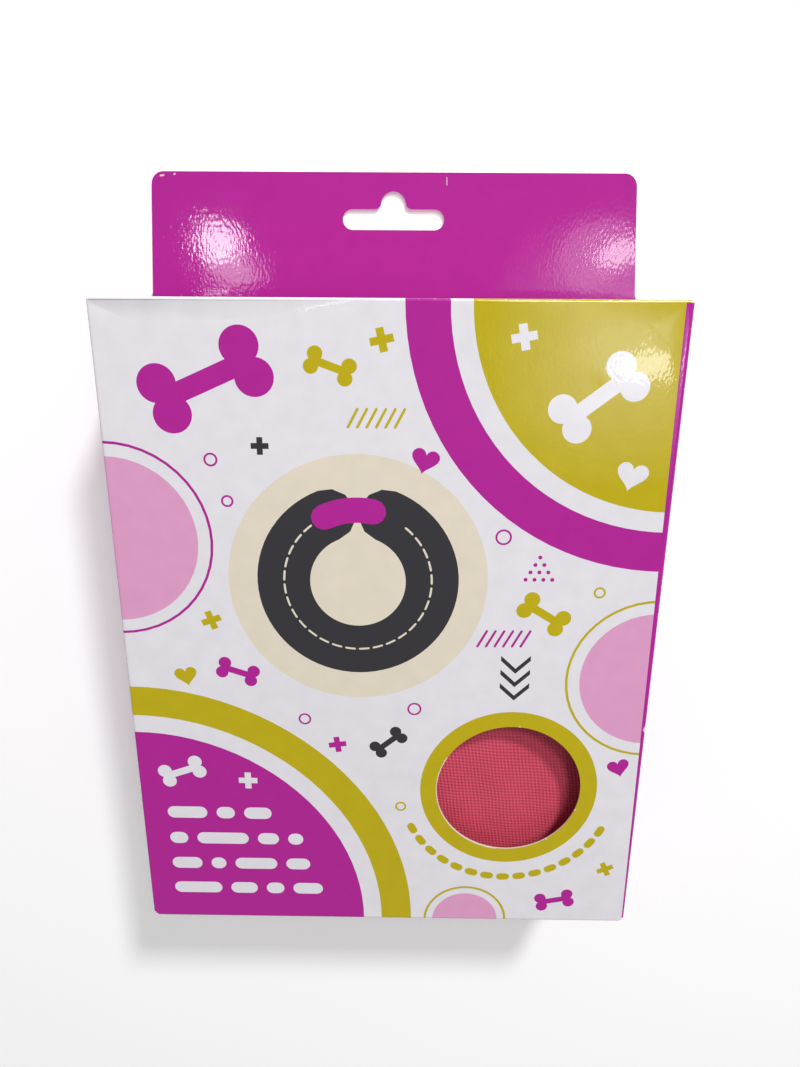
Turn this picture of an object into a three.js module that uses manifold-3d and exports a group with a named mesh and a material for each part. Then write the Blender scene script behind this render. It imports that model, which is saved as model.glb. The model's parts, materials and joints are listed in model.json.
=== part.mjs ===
// Inflatable recovery collar for a medium dog, let down, folded in three and packed in its hanging carton.
// The carton lies on its back: +X is its right, +Y its header end, +Z its front. Lengths are in millimetres.
// The carton is sized round the folded collar, so most of its own sizes are worked out from the collar's.
import * as THREE from "three";
import { mergeVertices } from "three/addons/utils/BufferGeometryUtils.js";
import Module from "manifold-3d";

const wasm = await Module();
wasm.setup();

const radians = THREE.MathUtils.degToRad;
const fitGap = 0.3; // left between pieces that touch

// Collar, laid flat as a C and folded like a letter about lines through the middle of the C
const neckRadius = 45; // from the middle of the C to its inner seam
const tubeWidth = 96; // flat tube, inner seam to outer seam
const tubeThickness = 14.9; // soft tube with a little air left in it
const layerCount = 3;
const layerSweep = 107; // degrees of the C in each layer
const layerPitch = 15.4; // middle of one layer to the middle of the next
const foldFullness = 0.58; // share of the thickness that is left at a fold
const endFullness = 0.2; // share that is left where an end is sewn shut
const fadeSweep = 26; // degrees over which a layer thins towards a fold or an end
const seamWidth = 4; // flat sewn edge of the cover
const seamThickness = 1.4;
const coverWall = 1;
const bladderEdge = 1; // welded edge of the bladder
const bladderSlack = 0.35; // between bladder and cover, each side
const layerSteps = 12; // facets along a layer
const foldSteps = 6; // facets round a fold

// Valve of the bladder, which stands in a round port of the front layer
const valveAngle = 48; // degrees from the fold at the carton's right
const valveRadius = 5;
const valveRise = 4.2; // above the cover
const plugRadius = 3.4;
const plugRise = 1.6; // the part of the rise that is the plug's
const portClearance = 1;

// Hook-and-loop strap on the end of the front layer, folded back over it
const strapSweep = 40; // degrees that it covers
const strapRootWidth = 30;
const strapTipWidth = 40;
const strapThickness = 1.5;

// Carton of folding board
const board = 0.6;
const backLayers = 2; // the glued panel doubles the back and the header
const creaseRadius = 1.1; // outside of the long creases
const sideSlack = 3.1; // collar to side wall
const bottomSlack = 3.6; // collar to bottom panel
const topSlack = 4; // collar to dust flaps
const backSlack = 0.5; // collar to back panel
const frontSlack = 5.2; // collar to front panel, the depth seen through the window

// Window, which shows the cloth
const windowRadius = 23;
const windowFromRight = 41.7; // carton's right edge to the window's middle
const windowFromBottom = 52.5;

// Header with its hanging slot
const headerHeight = 36;
const headerInset = 2; // each side, at the lid's level
const headerTaper = 2.45; // each side, from there to the top
const headerCornerRadius = 4;
const slotWidth = 32;
const slotArmHeight = 6.1;
const slotHeight = 11.3; // over the hump in the middle
const slotHumpRadius = 3.9; // top of the hump
const slotHumpWidth = 11.2; // where the hump meets the arms
const slotRise = 19.2; // lid's level to the slot's lower edge

// Lid and dust flaps
const tuckLength = 14;
const tuckLean = 10; // degrees that the tucked flap leans into the carton, so that it swings out freely
const tuckInset = 1.5; // each side, at the lid
const tuckTaper = 3; // each side, from there to the tip
const tuckCornerRadius = 7;
const lidSideGap = 0.5; // lid's edge to the outside of the side wall
const dustFlapLength = 46;
const dustFlapTaper = 11; // slanted corners of the dust flaps
const dustFlapBackGap = 6; // dust flap to back panel, where the tuck flap goes
const dustFlapFrontGap = 1.5;

// Sizes of the folded collar
const outerRadius = neckRadius + tubeWidth;
const tubeMiddle = neckRadius + tubeWidth / 2;
const halfThickness = tubeThickness / 2;
const foldRadius = layerPitch / 2;
const foldReach = foldRadius + halfThickness * foldFullness;
const stackHeight = layerPitch * (layerCount - 1) + tubeThickness;
const lastLayer = layerCount - 1;
// The far end of a layer stands this much higher than the middle of the C
const endLift = -outerRadius * Math.cos(radians(layerSweep)) + foldReach * Math.sin(radians(layerSweep));

// Sizes of the carton, worked out from them
const backThickness = backLayers * board;
const cartonWidth = outerRadius + foldReach + 2 * (sideSlack + board);
const cartonDepth = backThickness + backSlack + stackHeight + frontSlack + board;
const flapStack = 2 * board + fitGap; // lid above a dust flap
const cartonHeight = board + bottomSlack + outerRadius + endLift + topSlack + flapStack;
const bottomY = -(cartonHeight + headerHeight) / 2;
const lidY = bottomY + cartonHeight;
const halfWidth = cartonWidth / 2;
const sideTopY = lidY - board - fitGap;

// The middle of the C, where the folds' lines meet
const collarX = halfWidth - board - sideSlack - foldReach;
const collarY = bottomY + board + bottomSlack + outerRadius;
const firstLayerZ = backThickness + backSlack + halfThickness;

/** Makes a manifold solid of a closed three.js geometry. */
function solidOf(geometry) {
  const bare = geometry.clone();
  bare.deleteAttribute("normal");
  bare.deleteAttribute("uv");
  const merged = mergeVertices(bare, 1e-4);
  return new wasm.Manifold(
    new wasm.Mesh({
      numProp: 3,
      vertProperties: merged.attributes.position.array,
      triVerts: new Uint32Array(merged.index.array),
    }),
  );
}

/** Makes a three.js geometry of a manifold solid. */
function geometryOf(solid) {
  const mesh = solid.getMesh();
  const geometry = new THREE.BufferGeometry();
  geometry.setAttribute("position", new THREE.BufferAttribute(mesh.vertProperties, 3));
  geometry.setIndex(new THREE.BufferAttribute(mesh.triVerts, 1));
  geometry.computeVertexNormals();
  return geometry;
}

/** A box between two corners. */
function blockBetween(low, high) {
  const size = high.map((value, axis) => value - low[axis]);
  const block = new THREE.BoxGeometry(...size);
  block.translate(...low.map((value, axis) => value + size[axis] / 2));
  return block;
}

/** A shape drawn on X and Z, run along +Y from startY to endY. */
function runAlongY(shape, startY, endY, curveSegments) {
  const run = new THREE.ExtrudeGeometry(shape, { depth: endY - startY, bevelEnabled: false, curveSegments });
  run.rotateX(Math.PI / 2);
  run.translate(0, endY, 0);
  return run;
}

/** A shape drawn on X and Y, run along +Z from startZ to endZ. */
function runAlongZ(shape, startZ, endZ, curveSegments) {
  const run = new THREE.ExtrudeGeometry(shape, { depth: endZ - startZ, bevelEnabled: false, curveSegments });
  run.translate(0, 0, startZ);
  return run;
}

/** A rectangle whose four corners have one radius. */
function roundedRectangle(left, low, right, high, radius) {
  const quarter = Math.PI / 2;
  const shape = new THREE.Shape();
  shape.absarc(right - radius, low + radius, radius, -quarter, 0, false);
  shape.absarc(right - radius, high - radius, radius, 0, quarter, false);
  shape.absarc(left + radius, high - radius, radius, quarter, 2 * quarter, false);
  shape.absarc(left + radius, low + radius, radius, 2 * quarter, 3 * quarter, false);
  shape.closePath();
  return shape;
}

/** A flap with straight edges that draw in by taper, and two round corners at its far end, drawn up from y = 0. */
function flapShape(halfBase, length, taper, radius) {
  const lean = Math.atan2(taper, length);
  const halfTip = halfBase - taper;
  const inset = radius * Math.tan((Math.PI / 2 - lean) / 2);
  const shape = new THREE.Shape();
  shape.moveTo(-halfBase, 0);
  shape.lineTo(halfBase, 0);
  shape.absarc(halfTip - inset, length - radius, radius, lean, Math.PI / 2, false);
  shape.absarc(inset - halfTip, length - radius, radius, Math.PI / 2, Math.PI - lean, false);
  shape.closePath();
  return shape;
}

/** The hanging slot: two arms with round ends, and a hump in the middle with sloping flanks. */
function slotShape() {
  const armRadius = slotArmHeight / 2;
  const armX = slotWidth / 2 - armRadius;
  const humpY = slotHeight - slotHumpRadius;
  const flank = new THREE.Vector2(slotHumpWidth / 2, slotArmHeight - humpY);
  const tangent = Math.atan2(flank.y, flank.x) + Math.acos(slotHumpRadius / flank.length());
  const shape = new THREE.Shape();
  shape.absarc(armX, armRadius, armRadius, -Math.PI / 2, Math.PI / 2, false);
  shape.lineTo(slotHumpWidth / 2, slotArmHeight);
  shape.absarc(0, humpY, slotHumpRadius, tangent, Math.PI - tangent, false);
  shape.lineTo(-slotHumpWidth / 2, slotArmHeight);
  shape.absarc(-armX, armRadius, armRadius, Math.PI / 2, 1.5 * Math.PI, false);
  shape.closePath();
  return shape;
}

/** The folded blank: four walls, bottom, header and dust flaps. The lid is a piece of its own. */
function cartonGeometry() {
  const innerRadius = creaseRadius - board;
  const outside = roundedRectangle(-halfWidth, 0, halfWidth, cartonDepth, creaseRadius);
  const inside = roundedRectangle(
    board - halfWidth,
    backThickness,
    halfWidth - board,
    cartonDepth - board,
    innerRadius,
  );
  const creaseSegments = 3;
  const past = 1; // how far a cutter runs past what it cuts
  let blank = solidOf(runAlongY(outside, bottomY, lidY, creaseSegments));
  blank = blank.subtract(solidOf(runAlongY(inside, bottomY + board, lidY + past, creaseSegments)));

  // The side walls end under the lid, the front and the back don't
  const overSides = blockBetween(
    [-halfWidth - past, sideTopY, backThickness],
    [halfWidth + past, lidY + past, cartonDepth - board],
  );
  blank = blank.subtract(solidOf(overSides));

  const header = flapShape(halfWidth - headerInset, headerHeight, headerTaper, headerCornerRadius);
  const headerPlate = runAlongZ(header, 0, backThickness, 6);
  headerPlate.translate(0, lidY, 0);
  const headerRoot = blockBetween(
    [headerInset - halfWidth, sideTopY, 0],
    [halfWidth - headerInset, lidY + past, backThickness],
  );
  blank = blank.add(solidOf(headerPlate)).add(solidOf(headerRoot));
  const slot = runAlongZ(slotShape(), -past, backThickness + past, 8);
  slot.translate(0, lidY + slotRise, 0);
  blank = blank.subtract(solidOf(slot));

  for (const side of [-1, 1]) blank = blank.add(solidOf(dustFlapGeometry(side)));

  const windowCutter = new THREE.CylinderGeometry(windowRadius, windowRadius, board + 2 * past, 48);
  windowCutter.rotateX(Math.PI / 2);
  windowCutter.translate(
    halfWidth - windowFromRight,
    bottomY + windowFromBottom,
    cartonDepth - board / 2,
  );
  return geometryOf(blank.subtract(solidOf(windowCutter)));
}

/** One dust flap, folded in under the lid from the side wall on that side. */
function dustFlapGeometry(side) {
  const root = side * (halfWidth - board / 2);
  const tip = side * (halfWidth - board - dustFlapLength);
  const shoulder = tip + side * dustFlapTaper;
  const back = backThickness + dustFlapBackGap;
  const front = cartonDepth - board - dustFlapFrontGap;
  const outline = [
    [root, back],
    [shoulder, back],
    [tip, back + dustFlapTaper],
    [tip, front - dustFlapTaper],
    [shoulder, front],
    [root, front],
  ];
  const flap = new THREE.Shape(outline.map(([x, z]) => new THREE.Vector2(x, z)));
  return runAlongY(flap, sideTopY - board, sideTopY, 1);
}

/** The top panel with its tuck flap, which turns about the front panel's upper edge. */
function lidGeometry() {
  const halfLid = halfWidth - lidSideGap;
  const backEdge = backThickness + fitGap;
  const frontEdge = cartonDepth - board - fitGap;
  const past = 1; // how far the fold runs past the outline that trims it
  const sine = Math.sin(radians(tuckLean));
  const cosine = Math.cos(radians(tuckLean));
  const tip = new THREE.Vector2(sine, -cosine).multiplyScalar(tuckLength + past).add({ x: backEdge, y: 0 });
  const side = [
    [frontEdge, 0],
    [backEdge, 0],
    [tip.x, tip.y],
    [tip.x + board * cosine, tip.y + board * sine],
    [backEdge + (board * (1 + sine)) / cosine, -board],
    [frontEdge, -board],
  ];
  // The side is drawn on Z and Y, run along X, and trimmed to the outline seen from the front
  const profile = new THREE.Shape(side.map(([z, y]) => new THREE.Vector2(z, y)));
  const fold = new THREE.ExtrudeGeometry(profile, { depth: 2 * halfLid, bevelEnabled: false });
  fold.rotateY(-Math.PI / 2);
  fold.translate(halfLid, lidY, 0);
  const tuckShape = flapShape(halfLid - tuckInset, tuckLength * cosine, tuckTaper, tuckCornerRadius);
  const tuckOutline = runAlongZ(tuckShape, 0, cartonDepth, 5);
  tuckOutline.rotateX(Math.PI);
  tuckOutline.translate(0, lidY, cartonDepth);
  const panelOutline = blockBetween(
    [-halfWidth, lidY - 1.5 * board, 0],
    [halfWidth, lidY + past, cartonDepth],
  );
  return geometryOf(solidOf(fold).intersect(solidOf(tuckOutline).add(solidOf(panelOutline))));
}

/** From 0 to 1, with a level start and end. */
function ease(share) {
  const held = THREE.MathUtils.clamp(share, 0, 1);
  return held * held * (3 - 2 * held);
}

/** How full the tube is at an angle of a layer, as a share of its full thickness. */
function fullnessAt(layer, angle) {
  const lowEnd = layer === 0 ? endFullness : foldFullness;
  const highEnd = layer === lastLayer ? endFullness : foldFullness;
  const low = lowEnd + (1 - lowEnd) * ease(angle / fadeSweep);
  const high = highEnd + (1 - highEnd) * ease((layerSweep - angle) / fadeSweep);
  return Math.min(low, high);
}

/** The fullness half way along a facet of the tube is between that of the facet's two ends. */
function facetFullness(layer, angle) {
  const facet = layerSweep / layerSteps;
  const start = Math.floor(angle / facet) * facet;
  return THREE.MathUtils.lerp(fullnessAt(layer, start), fullnessAt(layer, start + facet), (angle - start) / facet);
}

/** A place on the folded tube: the section's middle line at that place, its thickness direction and its fullness. */
function stationAt(angle, shift, height, turn, fullness) {
  const along = new THREE.Vector3(-Math.sin(radians(angle)), -Math.cos(radians(angle)), 0);
  const across = new THREE.Vector3(-Math.cos(radians(angle)), Math.sin(radians(angle)), 0);
  const origin = new THREE.Vector3(collarX, collarY, height).addScaledVector(across, shift);
  const normal = new THREE.Vector3(0, 0, Math.cos(turn)).addScaledVector(across, -Math.abs(Math.sin(turn)));
  return { along, origin, normal, fullness };
}

/** The tube's stations from its sewn end on the back layer, through the folds, to its end on the front layer. */
function foldedStations() {
  const stations = [];
  for (let layer = 0; layer < layerCount; layer += 1) {
    const forward = layer % 2 === 0;
    const height = firstLayerZ + layer * layerPitch;
    const turn = layer * Math.PI;
    for (let step = 0; step <= layerSteps; step += 1) {
      const share = forward ? step / layerSteps : 1 - step / layerSteps;
      const angle = share * layerSweep;
      stations.push(stationAt(angle, 0, height, turn, fullnessAt(layer, angle)));
    }
    if (layer === lastLayer) break;
    for (let step = 1; step < foldSteps; step += 1) {
      const bend = (step / foldSteps) * Math.PI;
      const shift = (forward ? 1 : -1) * foldRadius * Math.sin(bend);
      const rise = foldRadius * (1 - Math.cos(bend));
      stations.push(stationAt(forward ? layerSweep : 0, shift, height + rise, turn + bend, foldFullness));
    }
  }
  return stations;
}

/** Half the thickness of a soft section at a share of its half width, between its flat edges. */
function crown(share, halfMiddle, halfEdge) {
  const roundness = 0.62;
  return halfEdge + (halfMiddle - halfEdge) * Math.max(0, 1 - share * share) ** roundness;
}

/** A closed skin over sections of equal point counts, with flat ends. */
function skinOver(sections) {
  const ringSize = sections[0].length;
  const positions = sections.flat().flatMap((point) => point.toArray());
  const index = [];
  for (let section = 0; section < sections.length - 1; section += 1) {
    for (let point = 0; point < ringSize; point += 1) {
      const next = (point + 1) % ringSize;
      const here = section * ringSize;
      const there = here + ringSize;
      index.push(here + point, there + point, here + next);
      index.push(here + next, there + point, there + next);
    }
  }
  // Each end is a strip between the upper and the lower half of its ring
  const last = (sections.length - 1) * ringSize;
  for (let point = 0; point < ringSize / 2 - 1; point += 1) {
    const mirror = ringSize - 1 - point;
    index.push(mirror, point, point + 1, mirror, point + 1, mirror - 1);
    index.push(last + mirror, last + point + 1, last + point, last + mirror, last + mirror - 1, last + point + 1);
  }
  const geometry = new THREE.BufferGeometry();
  geometry.setAttribute("position", new THREE.Float32BufferAttribute(positions, 3));
  geometry.setIndex(index);
  geometry.computeVertexNormals();
  return geometry;
}

/**
 * A soft body that fills the folded tube to some depth.
 * edgeInset is how far it keeps from the tube's seams, wallInset from its two faces and endInset from its ends.
 */
function tubeBody(edgeInset, wallInset, halfEdge, endInset) {
  const halfSpan = tubeWidth / 2 - edgeInset;
  const stations = foldedStations();
  const first = stations[0];
  const final = stations[stations.length - 1];
  // The ends are drawn back along the tube, by turning their sections about the middle of the C
  const endTurn = THREE.MathUtils.radToDeg(endInset / tubeMiddle);
  stations[0] = stationAt(endTurn, 0, first.origin.z, 0, first.fullness);
  stations[stations.length - 1] = stationAt(
    layerSweep - endTurn,
    0,
    final.origin.z,
    lastLayer * Math.PI,
    final.fullness,
  );
  const shares = [-1, -0.94, -0.8, -0.55, -0.2, 0.2, 0.55, 0.8, 0.94, 1];
  const sections = stations.map(({ along, origin, normal, fullness }) => {
    const halfMiddle = Math.max(halfThickness * fullness - wallInset, halfEdge);
    const place = (share, side) =>
      origin
        .clone()
        .addScaledVector(along, tubeMiddle + share * halfSpan)
        .addScaledVector(normal, side * crown(share, halfMiddle, halfEdge));
    const upper = shares.map((share) => place(share, 1));
    const lower = shares.map((share) => place(share, -1)).reverse();
    return [...upper, ...lower];
  });
  return skinOver(sections);
}

/** The cloth cover: a flat tube sewn shut at both ends and hollow for the bladder, with a port for the valve. */
function coverGeometry() {
  const outside = solidOf(tubeBody(0, 0, seamThickness / 2, 0));
  const inside = solidOf(tubeBody(seamWidth, coverWall, bladderEdge / 2 + bladderSlack, seamWidth));
  const place = valvePlace();
  const port = new THREE.CylinderGeometry(
    valveRadius + portClearance,
    valveRadius + portClearance,
    tubeThickness,
    24,
  );
  port.rotateX(Math.PI / 2);
  port.translate(place.x, place.y, firstLayerZ + lastLayer * layerPitch + halfThickness);
  return geometryOf(outside.subtract(inside).subtract(solidOf(port)));
}

/** The welded film bladder, let down inside the cover. */
function bladderGeometry() {
  return tubeBody(
    seamWidth + bladderSlack,
    coverWall + bladderSlack,
    bladderEdge / 2,
    seamWidth + bladderSlack + bladderEdge,
  );
}

/** Where the valve stands: on the middle of the front layer, its foot just over the bladder. */
function valvePlace() {
  const turn = radians(valveAngle);
  return new THREE.Vector3(
    collarX - tubeMiddle * Math.sin(turn),
    collarY - tubeMiddle * Math.cos(turn),
    firstLayerZ + lastLayer * layerPitch + halfThickness - coverWall - bladderSlack + fitGap,
  );
}

/** The valve's stem with its plug pushed in. */
function valveGeometry() {
  const rise = coverWall + bladderSlack - fitGap + valveRise;
  const bead = 0.5;
  const profile = [
    [0, 0],
    [valveRadius, 0],
    [valveRadius, rise - plugRise - bead],
    [valveRadius - bead, rise - plugRise],
    [plugRadius, rise - plugRise],
    [plugRadius, rise - bead],
    [plugRadius - bead, rise],
    [0, rise],
  ];
  const valve = new THREE.LatheGeometry(profile.map(([radius, height]) => new THREE.Vector2(radius, height)), 24);
  valve.rotateX(Math.PI / 2);
  const place = valvePlace();
  valve.translate(place.x, place.y, place.z);
  return geometryOf(solidOf(valve));
}

/** The strap, which follows the cover's face from the sewn end back over the front layer. */
function strapGeometry() {
  const steps = 12;
  const height = firstLayerZ + lastLayer * layerPitch;
  const shares = [-1, -0.5, 0, 0.5, 1];
  const sections = [];
  for (let step = 0; step <= steps; step += 1) {
    const share = step / steps;
    const angle = layerSweep - share * strapSweep;
    const station = stationAt(angle, 0, height, 0, facetFullness(lastLayer, angle));
    const halfStrap = (strapRootWidth + (strapTipWidth - strapRootWidth) * share) / 2;
    const halfMiddle = Math.max(halfThickness * station.fullness, seamThickness / 2);
    const place = (across, lift) =>
      station.origin
        .clone()
        .addScaledVector(station.along, tubeMiddle + across * halfStrap)
        .setZ(height + crown((across * halfStrap) / (tubeWidth / 2), halfMiddle, seamThickness / 2) + lift);
    const lower = shares.map((across) => place(across, fitGap)).reverse();
    const upper = shares.map((across) => place(across, fitGap + strapThickness));
    sections.push([...upper, ...lower]);
  }
  return skinOver(sections.reverse());
}

/** Adds a named piece to the group, with a material of its own. */
function addPiece(group, name, geometry, color, roughness) {
  const piece = new THREE.Mesh(geometry, new THREE.MeshStandardMaterial({ color, roughness, metalness: 0 }));
  piece.name = name;
  group.add(piece);
}

const group = new THREE.Group();
addPiece(group, "carton", cartonGeometry(), 0xe6e2e6, 0.3);
addPiece(group, "lid", lidGeometry(), 0xb0219a, 0.3);
addPiece(group, "collar_cover", coverGeometry(), 0xd2465f, 0.85);
addPiece(group, "bladder", bladderGeometry(), 0xd9d9d4, 0.4);
addPiece(group, "valve", valveGeometry(), 0xe8e6e0, 0.45);
addPiece(group, "closure_strap", strapGeometry(), 0x2a2a2d, 0.9);

export default group;
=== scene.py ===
"""Looks of a boxed recovery collar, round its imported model.

The carton is one die-cut blank of board, drawn flat with its print and folded up, with a glued back panel and a lid
that turns. Inside it lies the collar: a soft tube of woven cloth with a let-down bladder, folded in three.
"""

import json
import logging
import math
from collections.abc import Callable, Sequence
from dataclasses import dataclass, field
from enum import Enum
from typing import NamedTuple

import bmesh
import bpy
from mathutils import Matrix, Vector, noise
from mathutils.geometry import delaunay_2d_cdt


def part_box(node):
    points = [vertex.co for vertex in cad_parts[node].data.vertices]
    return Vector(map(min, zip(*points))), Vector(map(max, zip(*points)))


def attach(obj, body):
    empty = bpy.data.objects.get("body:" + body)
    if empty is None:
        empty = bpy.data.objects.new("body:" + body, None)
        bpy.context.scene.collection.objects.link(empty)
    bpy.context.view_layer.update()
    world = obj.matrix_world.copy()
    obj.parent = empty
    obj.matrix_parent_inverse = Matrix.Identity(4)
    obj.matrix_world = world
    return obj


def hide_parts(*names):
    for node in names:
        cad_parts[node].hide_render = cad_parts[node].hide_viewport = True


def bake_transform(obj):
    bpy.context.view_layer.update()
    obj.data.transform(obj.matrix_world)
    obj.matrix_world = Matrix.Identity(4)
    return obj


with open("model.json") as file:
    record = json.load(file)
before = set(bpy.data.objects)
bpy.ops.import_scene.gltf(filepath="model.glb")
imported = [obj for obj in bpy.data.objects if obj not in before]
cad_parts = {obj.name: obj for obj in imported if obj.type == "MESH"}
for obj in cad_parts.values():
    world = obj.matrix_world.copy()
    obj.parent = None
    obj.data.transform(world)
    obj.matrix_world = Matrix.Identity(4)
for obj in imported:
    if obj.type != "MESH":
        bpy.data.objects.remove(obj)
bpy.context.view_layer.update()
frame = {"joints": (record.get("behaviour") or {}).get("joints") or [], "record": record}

log = logging.getLogger("boxed_collar")

MM = 0.001
Flat = tuple[float, float]
Outline = list[Flat]
Socket = bpy.types.NodeSocket
Sockets = tuple[tuple[str, float | tuple], ...]
UP = Vector((0, 0, 1))


class Ink(Enum):
    """The inks of the print, and the bare white board between them, as sRGB hex."""

    WHITE = "#E9E6EC"
    MAGENTA = "#B41A96"
    OLIVE = "#C2AF00"
    PINK = "#E3A0C9"
    CHARCOAL = "#333136"
    CREAM = "#E6DCC8"


def linear(hex_code: str) -> tuple[float, float, float, float]:
    """Turns an sRGB hex colour to linear light.

    Args:
        hex_code: The colour, with its leading hash.

    Returns:
        Red, green, blue and alpha.
    """

    def channel(start: int) -> float:
        """One linear channel, from the two digits at start."""
        value = int(hex_code[start : start + 2], 16) / 255
        return value / 12.92 if value <= 0.04045 else ((value + 0.055) / 1.055) ** 2.4

    return channel(1), channel(3), channel(5), 1.0


def shaded(hex_code: str, share: float) -> str:
    """A hex colour with each channel times a share, held to white."""
    channels = (min(255, round(int(hex_code[start : start + 2], 16) * share)) for start in (1, 3, 5))
    return "#" + "".join(f"{channel:02X}" for channel in channels)


class Recipe:
    """A material being made: its node tree, its shader, and one way to add a node."""

    def __init__(self, name: str, **sockets: float | tuple) -> None:
        """Starts a material on a Principled shader.

        Args:
            name: The material's name.
            sockets: Shader sockets that are the same all over, with underscores for spaces.
        """
        self.material = bpy.data.materials.new(name)
        self.material.use_nodes = True
        self.tree = self.material.node_tree
        self.shader = self.tree.nodes["Principled BSDF"]
        for socket, value in sockets.items():
            self.shader.inputs[socket.replace("_", " ")].default_value = value

    def add(self, kind: str, settings: dict | None = None, links: dict | None = None) -> bpy.types.Node:
        """Adds a node.

        Args:
            kind: The node's type name without its ShaderNode start.
            settings: Properties and unlinked inputs, by name, or by number for inputs that share a name.
            links: Output sockets to link from, by input name or number.

        Returns:
            The new node.
        """
        made = self.tree.nodes.new("ShaderNode" + kind)
        for key, value in (settings or {}).items():
            if isinstance(key, str) and hasattr(made, key):
                setattr(made, key, value)
            else:
                made.inputs[key].default_value = value
        for key, source in (links or {}).items():
            self.tree.links.new(source, made.inputs[key])
        return made

    def feed(self, socket: str, source: Socket) -> None:
        """Links a node's output to a socket of the shader."""
        self.tree.links.new(source, self.shader.inputs[socket])

    def place(self) -> Socket:
        """The piece's own coordinates."""
        return self.add("TexCoord").outputs["Object"]

    def grain(self, place: Socket, size_mm: float, detail: float, roughness: float = 0.5) -> Socket:
        """Noise from 0 to 1, with spots of about a size."""
        settings = {"Scale": 1 / (size_mm * MM), "Detail": detail, "Roughness": roughness}
        return self.add("TexNoise", settings, {"Vector": place}).outputs["Fac"]

    def maths(self, operation: str, settings: dict, links: dict) -> Socket:
        """The result of a sum on sockets, with its settings and links by number."""
        return self.add("Math", {"operation": operation, **settings}, links).outputs[0]

    def mix(self, share: Socket, low: str, high: str) -> Socket:
        """A colour between two hex colours, by a share that a socket gives."""
        blend = self.add("Mix", {"data_type": "RGBA", 6: linear(low), 7: linear(high)}, {0: share})
        return blend.outputs[2]

    def relief(
        self,
        height: Socket,
        depth_mm: float,
        strength: float = 1.0,
        under: Socket | None = None,
        invert: bool = False,
    ) -> Socket:
        """Raises the surface by a height.

        Args:
            height: Its level, from 0 to 1.
            depth_mm: What a level of 1 is worth.
            strength: Share of the relief that shows.
            under: The normal of a coarser relief that this one lies on.
            invert: Whether the height goes inward.

        Returns:
            The normal of the raised surface.
        """
        links = {"Height": height} | ({"Normal": under} if under else {})
        settings = {"Distance": depth_mm * MM, "Strength": strength, "invert": invert}
        return self.add("Bump", settings, links).outputs["Normal"]


@dataclass(frozen=True)
class LaminatedInk:
    """Offset ink on folding board under a gloss film.

    The film follows the board's fibres, so a lamp's image breaks up into short streaks. Where a crease has rubbed,
    the film and the ink are gone and white board shows.
    """

    ink: Ink
    fibre_width_mm: float = 0.62
    fibre_length_mm: float = 1.35
    fibre_height_mm: float = 0.0125
    fibre_turn_degrees: float = 14.0
    wave_mm: float = 14.0
    wave_height_mm: float = 0.05
    mottle_mm: float = 6.0
    thin_ink: float = 0.965
    thick_ink: float = 1.02
    flake_mm: float = 0.9
    rub_from: float = 0.56
    rub_to: float = 0.64

    def build(self) -> bpy.types.Material:
        """Makes the material.

        Returns:
            The finished material.
        """
        recipe = Recipe(
            "laminated_" + self.ink.name.lower(),
            Roughness=0.5,
            IOR=1.5,
            Specular_IOR_Level=0.12,
            Coat_Weight=1.0,
            Coat_Roughness=0.05,
            Coat_IOR=1.5,
        )
        place = recipe.place()
        across, along = 1 / (self.fibre_width_mm * MM), 1 / (self.fibre_length_mm * MM)
        turn = (0, 0, math.radians(self.fibre_turn_degrees))
        laid = recipe.add("Mapping", {"Scale": (across, along, across), "Rotation": turn}, {"Vector": place})
        fibres = recipe.add("TexNoise", {"Scale": 1.0, "Detail": 0.5, "Roughness": 0.4}, {"Vector": laid.outputs[0]})
        waves = recipe.relief(recipe.grain(place, self.wave_mm, 1.0), self.wave_height_mm)
        film = recipe.relief(fibres.outputs["Fac"], self.fibre_height_mm, under=waves)
        recipe.feed("Normal", film)
        recipe.feed("Coat Normal", film)

        # The ink lies a little unevenly, and it is rubbed off in flakes along the creases
        mottle = recipe.grain(place, self.mottle_mm, 4.0)
        tone = recipe.mix(mottle, shaded(self.ink.value, self.thin_ink), shaded(self.ink.value, self.thick_ink))
        flakes = recipe.grain(place, self.flake_mm, 3.0, 0.6)
        wear = recipe.add("Attribute", {"attribute_name": "wear"}).outputs["Fac"]
        rubbed = recipe.maths("MULTIPLY", {}, {0: flakes, 1: wear})
        bare = recipe.add("MapRange", {"From Min": self.rub_from, "From Max": self.rub_to}, {"Value": rubbed})
        worn = recipe.add("Mix", {"data_type": "RGBA", 7: linear("#EFEBE6")}, {0: bare.outputs[0], 6: tone})
        recipe.feed("Base Color", worn.outputs[2])
        return recipe.material


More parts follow.
